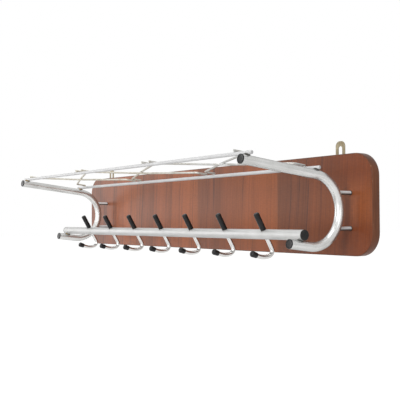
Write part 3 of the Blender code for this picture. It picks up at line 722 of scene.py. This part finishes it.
def ease_edges(form, size, segments=3, angle=50):
    """Bevels every edge that is sharper than an angle."""
    sharp = [edge for edge in form.edges if edge.calc_face_angle(0) > math.radians(angle)]
    round_off(form, sharp, size, segments, "EDGES")
    return form


def turned(profile, steps=48, segments=5):
    """Spins a profile of (radius, height, rounding) about Z. It runs from the axis back to the axis."""
    form = bmesh.new()
    chain = [form.verts.new((radius, 0, height)) for radius, height, _ in profile]
    for pair in zip(chain, chain[1:]):
        form.edges.new(pair)
    for vert, (_, _, rounding) in zip(chain, profile):
        if rounding:
            round_off(form, [vert], rounding, segments, "VERTICES")
    bmesh.ops.spin(form, geom=form.verts[:] + form.edges[:], cent=(0, 0, 0), axis=(0, 0, 1),
                   angle=math.tau, steps=steps, use_merge=True)
    bmesh.ops.remove_doubles(form, verts=form.verts, dist=WELD)
    bmesh.ops.recalc_face_normals(form, faces=form.faces)
    return form


def bar(radius, top, end, top_ease=0, end_ease=0, steps=48):
    """A round bar along Z, whose ends may be eased."""
    return turned([(0, top, 0), (radius, top, top_ease), (radius, end, end_ease), (0, end, 0)], steps)


print("shape helpers ready")

# %% [markdown]
# Holes are drilled with an exact Boolean. It works on objects, so a form becomes a helper object for a
# moment, is cut, and comes back as a form. The helper objects are removed again, because only finished
# pieces may stay in the scene.


# %% Drilling
def drill(form, *cutters):
    """Cuts the cutters out of a form and hands back what is left."""
    block = mesh_object("block", form)
    tools = [mesh_object("cutter", cutter) for cutter in cutters]
    for tool in tools:
        cut = block.modifiers.new("cut", "BOOLEAN")
        cut.operation = "DIFFERENCE"
        cut.solver = "EXACT"
        cut.object = tool
    left = bmesh.new()
    left.from_object(block, bpy.context.evaluated_depsgraph_get())
    for holder in (block, *tools):
        mesh = holder.data
        bpy.data.objects.remove(holder, do_unlink=True)
        bpy.data.meshes.remove(mesh)
    return left


print("drill ready")

# %% [markdown]
# Bent tubes and wires are made as in a tube bender. A ring of points is pushed along a straight, which
# extrudes it, and swung round a bend, which spins it. The bender remembers where it is and which way it
# is heading. A curve with a bevel would also do, but the bender gives clean rings exactly at the start
# and end of each bend. It keeps its points and edges in lists, because a set would change their order
# from run to run.


# %% The bender
def each_once(items):
    """The items in their order, each only once."""
    return list(dict.fromkeys(items))


class Bender:
    """Pushes a ring of points along straights and swings it round bends."""

    def __init__(self, form, start, heading, radius, sides):
        self.form = form
        self.spot = Vector(start)
        self.heading = Vector(heading).normalized()
        facing = self.heading.to_track_quat("Z", "Y").to_matrix().to_4x4()
        made = bmesh.ops.create_circle(form, cap_ends=False, radius=radius, segments=sides,
                                       matrix=shift(self.spot) @ facing)
        self.ring = each_once(edge for vert in made["verts"] for edge in vert.link_edges)
        self.first = self.ring

    def feed(self, length):
        """Pushes the stock straight on."""
        made = bmesh.ops.extrude_edge_only(self.form, edges=self.ring)["geom"]
        moved = of_kind(made, bmesh.types.BMVert)
        bmesh.ops.translate(self.form, verts=moved, vec=self.heading * length)
        self.ring = of_kind(made, bmesh.types.BMEdge)
        self.spot = self.spot + self.heading * length

    def bend(self, radius, angle, axis, steps):
        """Swings the stock about an axis, right-handed, with its middle line at the given radius."""
        axis = Vector(axis).normalized()
        centre = self.spot + radius * axis.cross(self.heading)
        verts = each_once(vert for edge in self.ring for vert in edge.verts)
        made = bmesh.ops.spin(self.form, geom=self.ring + verts, cent=centre, axis=axis, angle=angle,
                              steps=steps)
        self.ring = of_kind(made["geom_last"], bmesh.types.BMEdge)
        swing = Matrix.Rotation(angle, 3, axis)
        self.spot = centre + swing @ (self.spot - centre)
        self.heading = swing @ self.heading

    def follow(self, corners, reaches, steps):
        """Goes through corners, each rounded over a reach before and after it, and stops at the last."""
        for corner, after, reach in zip(corners, corners[1:], reaches):
            leaving = (after - corner).normalized()
            angle = self.heading.angle(leaving)
            self.feed((corner - self.spot).length - reach)
            self.bend(reach / math.tan(angle / 2), angle, self.heading.cross(leaving), steps)
        self.feed((corners[-1] - self.spot).length)

    def close(self):
        """Fills both ends."""
        for ring in (self.first, self.ring):
            bmesh.ops.contextual_create(self.form, geom=ring)
        return self.form


print("bender ready")

# %% [markdown]
# Screws hold the pins and the hanger tabs to the board. They are countersunk, so each is a turned cone
# on a shank, and the same shape, a little larger, cuts its own hole. Pin screws go through the whole
# board from the back, and two short ones hold each tab. The sizes of a screw are its diameter, its head's
# diameter and depth, and its length.

# %% Screws and their holes
SEAT = 0.3 * MM
SIDES = {"left": -1, "right": 1}
BOARD_HEIGHT = 220 * MM
HANGER_X = 534 * MM
BRACKET_X = {"left": -529.5 * MM, "right": 581.5 * MM}
PIN_RISE = 38 * MM
PIN_HEIGHTS = {"upper": BEND_CENTRE.z + PIN_RISE, "lower": BEND_CENTRE.z - PIN_RISE}
PIN_SCREW = (4 * MM, 8 * MM, 2.4 * MM, BOARD_THICKNESS + 15 * MM)
TAB_SCREW = (3.5 * MM, 7 * MM, 1.5 * MM, 15 * MM)
TAB_SCREW_DROPS = (24 * MM, 52 * MM)
HEAD_EDGE = 0.1 * MM
CUTTER_EXTRA = 3 * MM
to_wall = turn_about("X", -90)
pin_spots = {f"{level}_{side}": Vector((x, 0, z)) for level, z in PIN_HEIGHTS.items()
             for side, x in BRACKET_X.items()}
tab_spots = {f"{side}_{count}": Vector((sign * HANGER_X, 0, BOARD_HEIGHT / 2 - drop))
             for side, sign in SIDES.items() for count, drop in enumerate(TAB_SCREW_DROPS, 1)}


def countersunk(diameter, head, head_depth, length, grow=0.0):
    """A countersunk screw along Z with the face of its head at zero. Grown, it cuts its own hole."""
    radius = diameter / 2 + grow
    wide = head / 2 + grow
    top = CUTTER_EXTRA if grow else 0.0
    end = -length - grow
    return turned([(0, top, 0), (wide, top, 0), (wide, -HEAD_EDGE, 0), (radius, -head_depth, 0),
                   (radius, end, 0), (0, end, 0)], steps=32)


def screw_place(spot):
    """The place of a screw whose head sits just below the board's back."""
    return shift(spot + Vector((0, -SEAT, 0))) @ to_wall


def screw_hole(spot, sizes):
    """The cutter of a screw's hole."""
    return place_at(countersunk(*sizes, grow=SEAT), screw_place(spot))


print("screws:", len(pin_spots), "for pins and", len(tab_spots), "for tabs")

# %% [markdown]
# The board is a slab of 1290 x 220 x 21 mm with round corners. The veneered core lies inside a thin
# lipping that goes all round. At the back, two shallow pockets take the hanger tabs and cone-shaped holes
# take the screws, so they are cut out of the core here as they are in the solid. Only the front gets the
# fine veneer.

# %% Board core
BOARD_LENGTH = 1290 * MM
BOARD_CORNER = 50 * MM
LIPPING = 1.5 * MM
HANGER_WIDTH = 28 * MM
HANGER_LAP = 66 * MM
HANGER_THICKNESS = 2 * MM
POCKET_EXTRA = 4 * MM
NEARLY = 0.9


def pocket(side):
    """The cutter of a hanger tab's pocket, which is open to the back and the top."""
    height = HANGER_LAP + SEAT + POCKET_EXTRA
    form = slab(HANGER_WIDTH + 2 * SEAT, height, HANGER_THICKNESS + SEAT + POCKET_EXTRA, 0)
    low = BOARD_HEIGHT / 2 - HANGER_LAP - SEAT
    return place_at(form, shift((SIDES[side] * HANGER_X, POCKET_EXTRA, low + height / 2)))


def core_slab(thickness):
    """A slab with the outline of the core inside the lipping."""
    return slab(BOARD_LENGTH - 2 * LIPPING, BOARD_HEIGHT - 2 * LIPPING, thickness, BOARD_CORNER - LIPPING)


holes = [screw_hole(spot, PIN_SCREW) for spot in pin_spots.values()]
holes += [screw_hole(spot, TAB_SCREW) for spot in tab_spots.values()]
core = drill(core_slab(BOARD_THICKNESS), pocket("left"), pocket("right"), *holes)
board = add_piece(core, "veneered_board", veneer_face, "rack", "veneer", "backboard")
board.data.materials.append(board_back)
for face in board.data.polygons:
    in_front = face.normal.y < -NEARLY and face.center.y < -NEARLY * BOARD_THICKNESS
    face.material_index = 0 if in_front else 1
print("board faces in veneer:", sum(face.material_index == 0 for face in board.data.polygons))

# %% [markdown]
# The lipping is a slightly larger slab with eased rims, from which the core's outline and the pockets
# are cut, so only a ring is left.

# %% Dark lipping
RIM_EASE = 0.9 * MM

ring = ease_edges(slab(BOARD_LENGTH, BOARD_HEIGHT, BOARD_THICKNESS, BOARD_CORNER), RIM_EASE)
inside = place_at(core_slab(3 * BOARD_THICKNESS), shift((0, BOARD_THICKNESS, 0)))
ring = drill(ring, inside, pocket("left"), pocket("right"))
add_piece(ring, "dark_lipping", dark_edge, "rack", "board_edge", "edge_band")

# %% [markdown]
# The hanger tabs are stamped from sheet: a strip with an arched top and a long slot for the wall screw.
# The arch is a slab with rounded upper corners. A slab rounded at all four corners would show a round
# lower end too, so the strip is made longer than needed and its lower end is cut off with a plane.

# %% Hanger tabs
HANGER_RISE = 31.5 * MM
HANGER_ROUND = 12 * MM
HANGER_EASE = 0.35 * MM
SPARE_LENGTH = 20 * MM
SLOT_WIDTH = 12 * MM
SLOT_LENGTH = 27 * MM
SLOT_MARGIN = 11 * MM
NEARLY_HALF = 0.499

for side, sign in SIDES.items():
    height = HANGER_RISE + HANGER_LAP + SPARE_LENGTH
    top = BOARD_HEIGHT / 2 + HANGER_RISE
    strip = slab(HANGER_WIDTH, height, HANGER_THICKNESS, HANGER_ROUND, segments=12)
    place_at(strip, shift((sign * HANGER_X, 0, top - height / 2)))
    cut_off = bmesh.ops.bisect_plane(strip, geom=strip.verts[:] + strip.edges[:] + strip.faces[:],
                                     plane_co=(0, 0, BOARD_HEIGHT / 2 - HANGER_LAP), plane_no=(0, 0, -1),
                                     clear_outer=True)["geom_cut"]
    bmesh.ops.contextual_create(strip, geom=of_kind(cut_off, bmesh.types.BMEdge))
    ease_edges(strip, HANGER_EASE, segments=2)
    slot = slab(SLOT_WIDTH, SLOT_LENGTH, 5 * HANGER_THICKNESS, NEARLY_HALF * SLOT_WIDTH, segments=12)
    slot_middle = top - SLOT_MARGIN - SLOT_LENGTH / 2
    place_at(slot, shift((sign * HANGER_X, 2 * HANGER_THICKNESS, slot_middle)))
    sinks = [screw_hole(spot, TAB_SCREW) for key, spot in tab_spots.items() if key.startswith(side)]
    add_piece(drill(strip, slot, *sinks), f"hanger_tab_{side}", tan_sheet, "rack", "hanger_steel",
              f"hanger_plate_{side}")

# %% [markdown]
# All screws are slotted. A narrow box cut across the head makes the slot. Each screw is turned to its own
# angle, as hand-driven screws are.

# %% Slotted screws
SLOT_DEPTH = 0.9 * MM
SLOT_GAP = 1.1 * MM


def slotted_screw(sizes, angle):
    """A countersunk screw with its slot at an angle in degrees."""
    head = sizes[1]
    box = bmesh.new()
    across_head = Matrix.Diagonal((2 * head, SLOT_GAP, 2 * SLOT_DEPTH, 1))
    bmesh.ops.create_cube(box, size=1, matrix=turn_about("Z", angle) @ across_head)
    return drill(countersunk(*sizes), box)


for kind, node, sizes, spots, first_angle, angle_step in (
        ("pin", "standoff", PIN_SCREW, pin_spots, 25, 67),
        ("tab", "hanger", TAB_SCREW, tab_spots, 10, 53)):
    for count, (key, spot) in enumerate(spots.items()):
        screw = place_at(slotted_screw(sizes, first_angle + angle_step * count), screw_place(spot))
        add_piece(screw, f"{kind}_screw_{key}", zinc_screw, "rack", "screw_steel", f"{node}_screw_{key}")

# %% [markdown]
# A bracket is one tube of 20 mm, bent back on itself: a long upper arm, a half circle and a short lower
# arm. It is bent lying level about the middle of its half circle, then tipped by 7 degrees, so that both
# arms rise to the front. The bender makes the skin. Solidify then gives it a real wall, which needs all
# faces to point outwards first.

# %% Bent tubes
TUBE_RADIUS = 10 * MM
TUBE_WALL = 1.5 * MM
UPPER_ARM = 197.5 * MM
LOWER_ARM = 56 * MM
TUBE_SIDES = 48
BEND_STEPS = 48


def bent_stock(form, radius):
    """Sends round stock along the bracket's middle line, level and about the bend's centre."""
    stock = Bender(form, (0, -UPPER_ARM, BEND_RADIUS), (0, 1, 0), radius, TUBE_SIDES)
    stock.feed(UPPER_ARM)
    stock.bend(BEND_RADIUS, math.pi, (-1, 0, 0), BEND_STEPS)
    stock.feed(LOWER_ARM)
    return stock


def bracket_place(side):
    """The place of a bracket: tipped, and moved from the origin to the bend's centre."""
    return shift((BRACKET_X[side], BEND_CENTRE.y, BEND_CENTRE.z)) @ turn_about("X", -BRACKET_TILT)


def hollow(form):
    """Gives an open skin a tube's wall on its inner side."""
    bmesh.ops.recalc_face_normals(form, faces=form.faces)
    bmesh.ops.solidify(form, geom=form.faces[:], thickness=TUBE_WALL)
    return form


for side in SIDES:
    tube = bmesh.new()
    bent_stock(tube, TUBE_RADIUS)
    place_at(hollow(tube), bracket_place(side))
    add_piece(tube, f"bent_tube_{side}", bent_tube, "rack", "satin_tube", f"bracket_tube_{side}")

# %% [markdown]
# Plastic plugs close the tube ends. The visible head has a rounded rim and a shallow dish, and a shank
# holds it in the bore. The rail's plugs are the same, only larger, so the dish and the rim are shares of
# the tube's radius.

# %% Tube plugs
PLUG_HEAD = 2.6 * MM
PLUG_DISH = 0.7 * MM
PLUG_SHANK = 14 * MM
PLUG_SLACK = 0.6 * MM
DISH_SHARE = 0.70
RIM_SHARE = 0.84


def plug(radius):
    """A plug along Z: its head's underside lies at zero and its face points up."""
    shank = radius - TUBE_WALL - PLUG_SLACK
    dish = PLUG_HEAD - PLUG_DISH
    return turned([(0, dish, 0), (DISH_SHARE * radius, dish, 0.8 * MM),
                   (RIM_SHARE * radius, PLUG_HEAD, 0.6 * MM), (radius, PLUG_HEAD, 1.3 * MM),
                   (radius, 0, 0.2 * MM), (shank, 0, 0), (shank, -PLUG_SHANK, 0.8 * MM),
                   (0, -PLUG_SHANK, 0)], steps=64)


for side in SIDES:
    for level, length, lift in (("upper", UPPER_ARM, BEND_RADIUS), ("lower", LOWER_ARM, -BEND_RADIUS)):
        arm_end = shift((0, -length - SEAT, lift)) @ turn_about("X", 90)
        out = place_at(plug(TUBE_RADIUS), bracket_place(side), arm_end)
        add_piece(out, f"tube_end_{level}_{side}", charcoal_plastic, "rack", "black_plastic",
                  f"tube_plug_{level}_{side}")

# %% [markdown]
# Four bright pins hold the brackets off the board. A pin ends in a hollow that fits the bend, which a
# fitter would file and which a Boolean with the solid tube gives at once. A thin dark ring lies under
# each pin on the board, where a dark line of contact shade runs round the pin's foot: the ring is that
# shade, put in as a dark part.

# %% Pins and rings
PIN_RADIUS = 4.25 * MM
PIN_EASE = 0.3 * MM
RING_BORE = PIN_RADIUS + 0.05 * MM
RING_RADIUS = 5.3 * MM
RING_THICKNESS = 0.9 * MM
RING_EASE = 0.35 * MM

for key, spot in pin_spots.items():
    side = key.split("_")[1]
    rise = spot.z - BEND_CENTRE.z
    length = -BEND_CENTRE.y - BOARD_THICKNESS - SEAT - math.sqrt(BEND_RADIUS ** 2 - rise ** 2)
    foot = shift(spot + Vector((0, -BOARD_THICKNESS - SEAT, 0))) @ to_wall
    pin = place_at(bar(PIN_RADIUS, 0, -length, PIN_EASE, steps=40), foot)
    solid_tube = bmesh.new()
    bent_stock(solid_tube, TUBE_RADIUS).close()
    bmesh.ops.recalc_face_normals(solid_tube, faces=solid_tube.faces)
    place_at(solid_tube, bracket_place(side))
    pin = drill(pin, solid_tube, screw_hole(spot, PIN_SCREW))
    add_piece(pin, f"pin_{key}", zinc_pin, "rack", "bright_wire", f"standoff_{key}")
    # Painted shade: a dark ring put where the pin's foot has contact shade.
    collar = turned([(RING_BORE, 0, 0), (RING_RADIUS, 0, 0), (RING_RADIUS, -RING_THICKNESS, RING_EASE),
                     (RING_BORE, -RING_THICKNESS, 0), (RING_BORE, 0, 0)], steps=40)
    place_at(collar, shift((0, SEAT, 0)), foot)
    add_piece(collar, f"pin_shade_ring_{key}", pin_shade_rubber, "rack", "black_plastic")

# %% [markdown]
# The hat shelf lies on the upper arms. Its two rods are plain round bars with slightly rounded ends, so
# they are turned and laid along X. A helper gives the place of any point of the tipped bracket plane: run
# goes forwards along the arms from the bend's centre, and lift goes up square to them.

# %% Shelf rods
ROD_RADIUS = 4 * MM
ROD_EASE = 1.6 * MM
ROD_HALVES = {"front": 574.5 * MM, "rear": 569.5 * MM}
SHELF_X = 22 * MM
ROD_RUNS = {"front": 184 * MM, "rear": 0.5 * MM}
ROD_LIFT = BEND_RADIUS + TUBE_RADIUS + SEAT + ROD_RADIUS


def on_bracket(x, run, lift):
    """The place of a point of the tipped bracket plane."""
    tilt = math.radians(BRACKET_TILT)
    return Vector((x, BEND_CENTRE.y - run * math.cos(tilt) + lift * math.sin(tilt),
                   BEND_CENTRE.z + run * math.sin(tilt) + lift * math.cos(tilt)))


for name, run in ROD_RUNS.items():
    half = ROD_HALVES[name]
    rod = bar(ROD_RADIUS, half, -half, ROD_EASE, ROD_EASE, steps=32)
    place_at(rod, shift(on_bracket(SHELF_X, run, ROD_LIFT)), turn_about("Y", 90))
    add_piece(rod, f"hat_rod_{name}", bright_rod, "rack", "bright_wire", f"shelf_rod_{name}")

# %% [markdown]
# Six thin wires lie on the rods in three crosses. A wire crosses the front rod square, kinks, runs across
# to the other end of its cross, kinks back and crosses the rear rod. Where two wires meet, one bows down
# and the other up by about half a wire, so that one lies on the other.

# %% Shelf wires
WIRE_RADIUS = 2.5 * MM
WIRE_SIDES = 20
WIRE_EASE = 0.5 * MM
WIRE_LIFT = ROD_LIFT + ROD_RADIUS + SEAT + WIRE_RADIUS
WIRE_TAIL = 28 * MM
WIRE_FRONT_TIP = 5 * MM
WIRE_REAR_TIP = 2 * MM
KINK_REACH = 6 * MM
KINK_STEPS = 8
BOW_REACH = 40 * MM
BOW = WIRE_RADIUS + SEAT / 2
CROSS_GAP = 34 * MM
CROSS_COUNT = 3
KINKS = (ROD_RUNS["front"] - WIRE_TAIL, ROD_RUNS["rear"] + WIRE_TAIL)
bracket_half = (BRACKET_X["right"] - BRACKET_X["left"]) / 2
cross_width = (2 * bracket_half - (CROSS_COUNT + 1) * CROSS_GAP) / CROSS_COUNT
weld_spots = []

for count in range(CROSS_COUNT):
    left = SHELF_X - bracket_half + CROSS_GAP + count * (cross_width + CROSS_GAP)
    right = left + cross_width
    middle = ((left + right) / 2, sum(KINKS) / 2)
    for kind, front, rear, bow in (("under", left, right, -BOW), ("over", right, left, BOW)):
        tip = on_bracket(front, ROD_RUNS["front"] + WIRE_FRONT_TIP, WIRE_LIFT)
        corners = [on_bracket(front, KINKS[0], WIRE_LIFT), on_bracket(*middle, WIRE_LIFT + bow),
                   on_bracket(rear, KINKS[1], WIRE_LIFT),
                   on_bracket(rear, ROD_RUNS["rear"] - WIRE_REAR_TIP, WIRE_LIFT)]
        wire = bmesh.new()
        stock = Bender(wire, tip, corners[0] - tip, WIRE_RADIUS, WIRE_SIDES)
        stock.follow(corners, (KINK_REACH, BOW_REACH, KINK_REACH), KINK_STEPS)
        ease_edges(stock.close(), WIRE_EASE, segments=2)
        add_piece(wire, f"hat_wire_{kind}_{count + 1}", yellowed_wire, "rack", "bright_wire",
                  f"shelf_wire_{kind}_{count + 1}")
        weld_spots += [on_bracket(x, ROD_RUNS[end], WIRE_LIFT - WIRE_RADIUS)
                       for x, end in ((front, "front"), (rear, "rear"))]
    weld_spots.append(on_bracket(*middle, WIRE_LIFT))

# %% [markdown]
# The wires are spot-welded to the rods and to each other. A weld is a small flattened bead that swells
# out of the joint. All of them are one piece, made of spheres that are squashed and roughened by a noise
# of their place.

# %% Welds
WELD_SIZE = (3.4 * MM, 3.4 * MM, 1.5 * MM)
WELD_ROUGHNESS = 0.35
LUMP_SCALE = 330


def bead(form, spot, size, roughness, rings=8):
    """Adds a squashed sphere, tipped as the brackets are, whose surface is roughened by noise."""
    lie = shift(spot) @ turn_about("X", -BRACKET_TILT)
    made = bmesh.ops.create_uvsphere(form, u_segments=2 * rings, v_segments=rings, radius=1,
                                     matrix=lie @ Matrix.Diagonal((*size, 1)))["verts"]
    for vert in made:
        outwards = vert.co - spot
        vert.co = vert.co + outwards * roughness * noise.noise(vert.co * LUMP_SCALE)


welds = bmesh.new()
for spot in weld_spots:
    bead(welds, spot, WELD_SIZE, WELD_ROUGHNESS)
add_piece(welds, "wire_welds", yellowed_wire, "rack", "bright_wire")
print("welds:", len(weld_spots))

# %% [markdown]
# The hook rail is a tube of 22 mm with a pair of slanted holes for each hook. Rings are placed on both
# sides of every hole, so the faces that the drill cuts stay short.

# %% Hook rail
RAIL_RADIUS = 11 * MM
RAIL_SIDES = 64
RAIL_ENDS = (-539 * MM, 591 * MM)
RAIL_RUN = 28 * MM
RAIL_LIFT = -(BEND_RADIUS - TUBE_RADIUS - SEAT - RAIL_RADIUS)
HOOK_COUNT = 7
HOOK_FIRST = -364.125 * MM
HOOK_PITCH = 138.875 * MM
HOOK_LEAN = 30
HOLE_RADIUS = 5.9 * MM
HOLE_ROOM = 10 * MM
DRILL_HALF = 20 * MM
rail_axis = on_bracket(0, RAIL_RUN, RAIL_LIFT)
hook_places = [HOOK_FIRST + HOOK_PITCH * count for count in range(HOOK_COUNT)]
stops = [x + room for x in hook_places for room in (-HOLE_ROOM, HOLE_ROOM)] + [RAIL_ENDS[1]]


def rail_point(x):
    """A point of the rail's axis."""
    return Vector((x, rail_axis.y, rail_axis.z))


def hook_frame(x):
    """The place of a hook: its own Z runs up its slanted shaft from the rail's axis."""
    return shift(rail_point(x)) @ turn_about("X", HOOK_LEAN)


rail = bmesh.new()
stock = Bender(rail, rail_point(RAIL_ENDS[0]), (1, 0, 0), RAIL_RADIUS, RAIL_SIDES)
for stop in stops:
    stock.feed(stop - stock.spot.x)
bits = [place_at(bar(HOLE_RADIUS, DRILL_HALF, -DRILL_HALF), hook_frame(x)) for x in hook_places]
rail_piece = add_piece(drill(hollow(rail), *bits), "rail_tube", satin_tube, "rack", "satin_tube",
                       "hook_rail")
print("rail: holes at", [round(x, 3) for x in hook_places])

# %% [markdown]
# The odd faces round the holes would show as dents in the gloss. So the rail's outer skin gets normals
# that point straight away from its axis, and all other faces keep their own.

# %% Even gloss on the rail
SKIN_TOLERANCE = 0.05 * MM

mesh = rail_piece.data
normals = []
for face in mesh.polygons:
    spokes = [mesh.vertices[index].co - rail_axis for index in face.vertices]
    for spoke in spokes:
        spoke.x = 0
    on_skin = abs(face.normal.x) < 0.5
    on_skin = on_skin and all(abs(spoke.length - RAIL_RADIUS) < SKIN_TOLERANCE for spoke in spokes)
    normals += [spoke.normalized() if on_skin else Vector() for spoke in spokes]
mesh.normals_split_custom_set(normals)
print("rail: set", sum(normal.length > 0 for normal in normals), "of", len(normals), "normals")

# %% [markdown]
# The rail's plugs are those of the tubes with the rail's radius, turned to face its two ends.

# %% Rail plugs
for side, end, angle in (("left", RAIL_ENDS[0] - SEAT, -90), ("right", RAIL_ENDS[1] + SEAT, 90)):
    out = place_at(plug(RAIL_RADIUS), shift(rail_point(end)), turn_about("Y", angle))
    add_piece(out, f"rail_end_{side}", charcoal_plastic, "rack", "black_plastic", f"rail_plug_{side}")

# %% [markdown]
# A hook is one wire of 10 mm. It comes down its slanted hole, turns sharply forwards under the rail and
# sweeps up to its tip. A grip is pushed on its upper end, which keeps it from falling through, and a
# flared cap on its tip. All three are built about the shaft or the tip.

# %% Forms of a hook
HOOK_RADIUS = 5 * MM
HOOK_SIDES = 32
WIRE_TOP = 49 * MM
HOOK_DROP = 34.8 * MM
HOOK_BEND = (11.5 * MM, math.radians(105))
HOOK_BEND_STEPS = 28
PRONG_SWEEP = (55 * MM, math.radians(33))
PRONG_STEPS = 14
PRONG_STRAIGHT = 16 * MM
BORE_RADIUS = HOOK_RADIUS + 0.4 * MM
GRIP_BASE = RAIL_RADIUS + SEAT
GRIP_TOP = GRIP_BASE + 41 * MM
GRIP_RADIUS = 6.4 * MM
CAP_BIG = 7 * MM
CAP_SMALL = 6.2 * MM
CAP_FRONT = 4.3 * MM
CAP_REAR = CAP_FRONT - 16 * MM
CAP_CROWN = 0.55 * CAP_BIG
CROWN_DROP = 0.3 * MM
FLARE_DROP = 2.6 * MM


def hook_wire():
    """A hook's wire about its shaft, and the place of its tip."""
    stock = Bender(bmesh.new(), (0, 0, WIRE_TOP), (0, 0, -1), HOOK_RADIUS, HOOK_SIDES)
    stock.feed(WIRE_TOP + HOOK_DROP)
    stock.bend(*HOOK_BEND, (-1, 0, 0), HOOK_BEND_STEPS)
    stock.bend(*PRONG_SWEEP, (-1, 0, 0), PRONG_STEPS)
    stock.feed(PRONG_STRAIGHT)
    tip = shift(stock.spot) @ stock.heading.to_track_quat("Z", "X").to_matrix().to_4x4()
    return stock.close(), tip


def hook_grip():
    """A grip about the shaft, open below."""
    floor_height = WIRE_TOP + SEAT
    return turned([(0, GRIP_TOP, 0), (GRIP_RADIUS, GRIP_TOP, 3.2 * MM), (GRIP_RADIUS, GRIP_BASE, 0.4 * MM),
                   (BORE_RADIUS, GRIP_BASE, 0.2 * MM), (BORE_RADIUS, floor_height, 0),
                   (0, floor_height, 0)], steps=40)


def hook_cap():
    """A flared cap about the tip, which points up."""
    return turned([(0, CAP_FRONT, 0), (CAP_CROWN, CAP_FRONT - CROWN_DROP, 1.5 * MM),
                   (CAP_BIG, CAP_FRONT - FLARE_DROP, 2.2 * MM), (CAP_SMALL, CAP_REAR, 0.5 * MM),
                   (BORE_RADIUS, CAP_REAR, 0.2 * MM), (BORE_RADIUS, SEAT, 0), (0, SEAT, 0)], steps=40)


print("hook forms ready")

# %% [markdown]
# Each hook is set in its hole in the rail. Wire, grip and cap all ride on the hook's own body, so they
# swivel together.

# %% Hooks, grips and caps
for count, x in enumerate(hook_places, 1):
    body = f"swivel_hook_{count}"
    frame_here = hook_frame(x)
    wire, tip = hook_wire()
    add_piece(place_at(wire, frame_here), f"coat_hook_{count}", bright_hook, body, "bright_wire",
              f"hook_{count}")
    add_piece(place_at(hook_grip(), frame_here), f"hook_grip_{count}", charcoal_plastic, body,
              "black_plastic", f"hook_sleeve_{count}")
    add_piece(place_at(hook_cap(), frame_here, tip), f"hook_tip_{count}", charcoal_plastic, body,
              "black_plastic", f"hook_cap_{count}")

# %% [markdown]
# Where a rod or the rail lies on an arm, braze has run into the joint and set as a rough collar. Each is
# a squashed and roughened sphere at the point of contact. Most of it hides inside the two tubes, and what
# stands out is the brown fillet that the photograph shows.

# %% Braze collars
BRAZE_SIZE = (7 * MM, 7 * MM, 3.5 * MM)
BRAZE_ROUGHNESS = 0.22
BRAZE_RINGS = 14
ARM_TOP = BEND_RADIUS + TUBE_RADIUS
CONTACTS = {"front_rod": (ROD_RUNS["front"], ARM_TOP), "rear_rod": (ROD_RUNS["rear"], ARM_TOP),
            "rail": (RAIL_RUN, TUBE_RADIUS - BEND_RADIUS)}

for joint, (run, contact) in CONTACTS.items():
    for side, x in BRACKET_X.items():
        collar = bmesh.new()
        bead(collar, on_bracket(x, run, contact + SEAT / 2), BRAZE_SIZE, BRAZE_ROUGHNESS, BRAZE_RINGS)
        add_piece(collar, f"braze_on_{joint}_{side}", dull_braze, "rack", "braze", f"braze_{joint}_{side}")
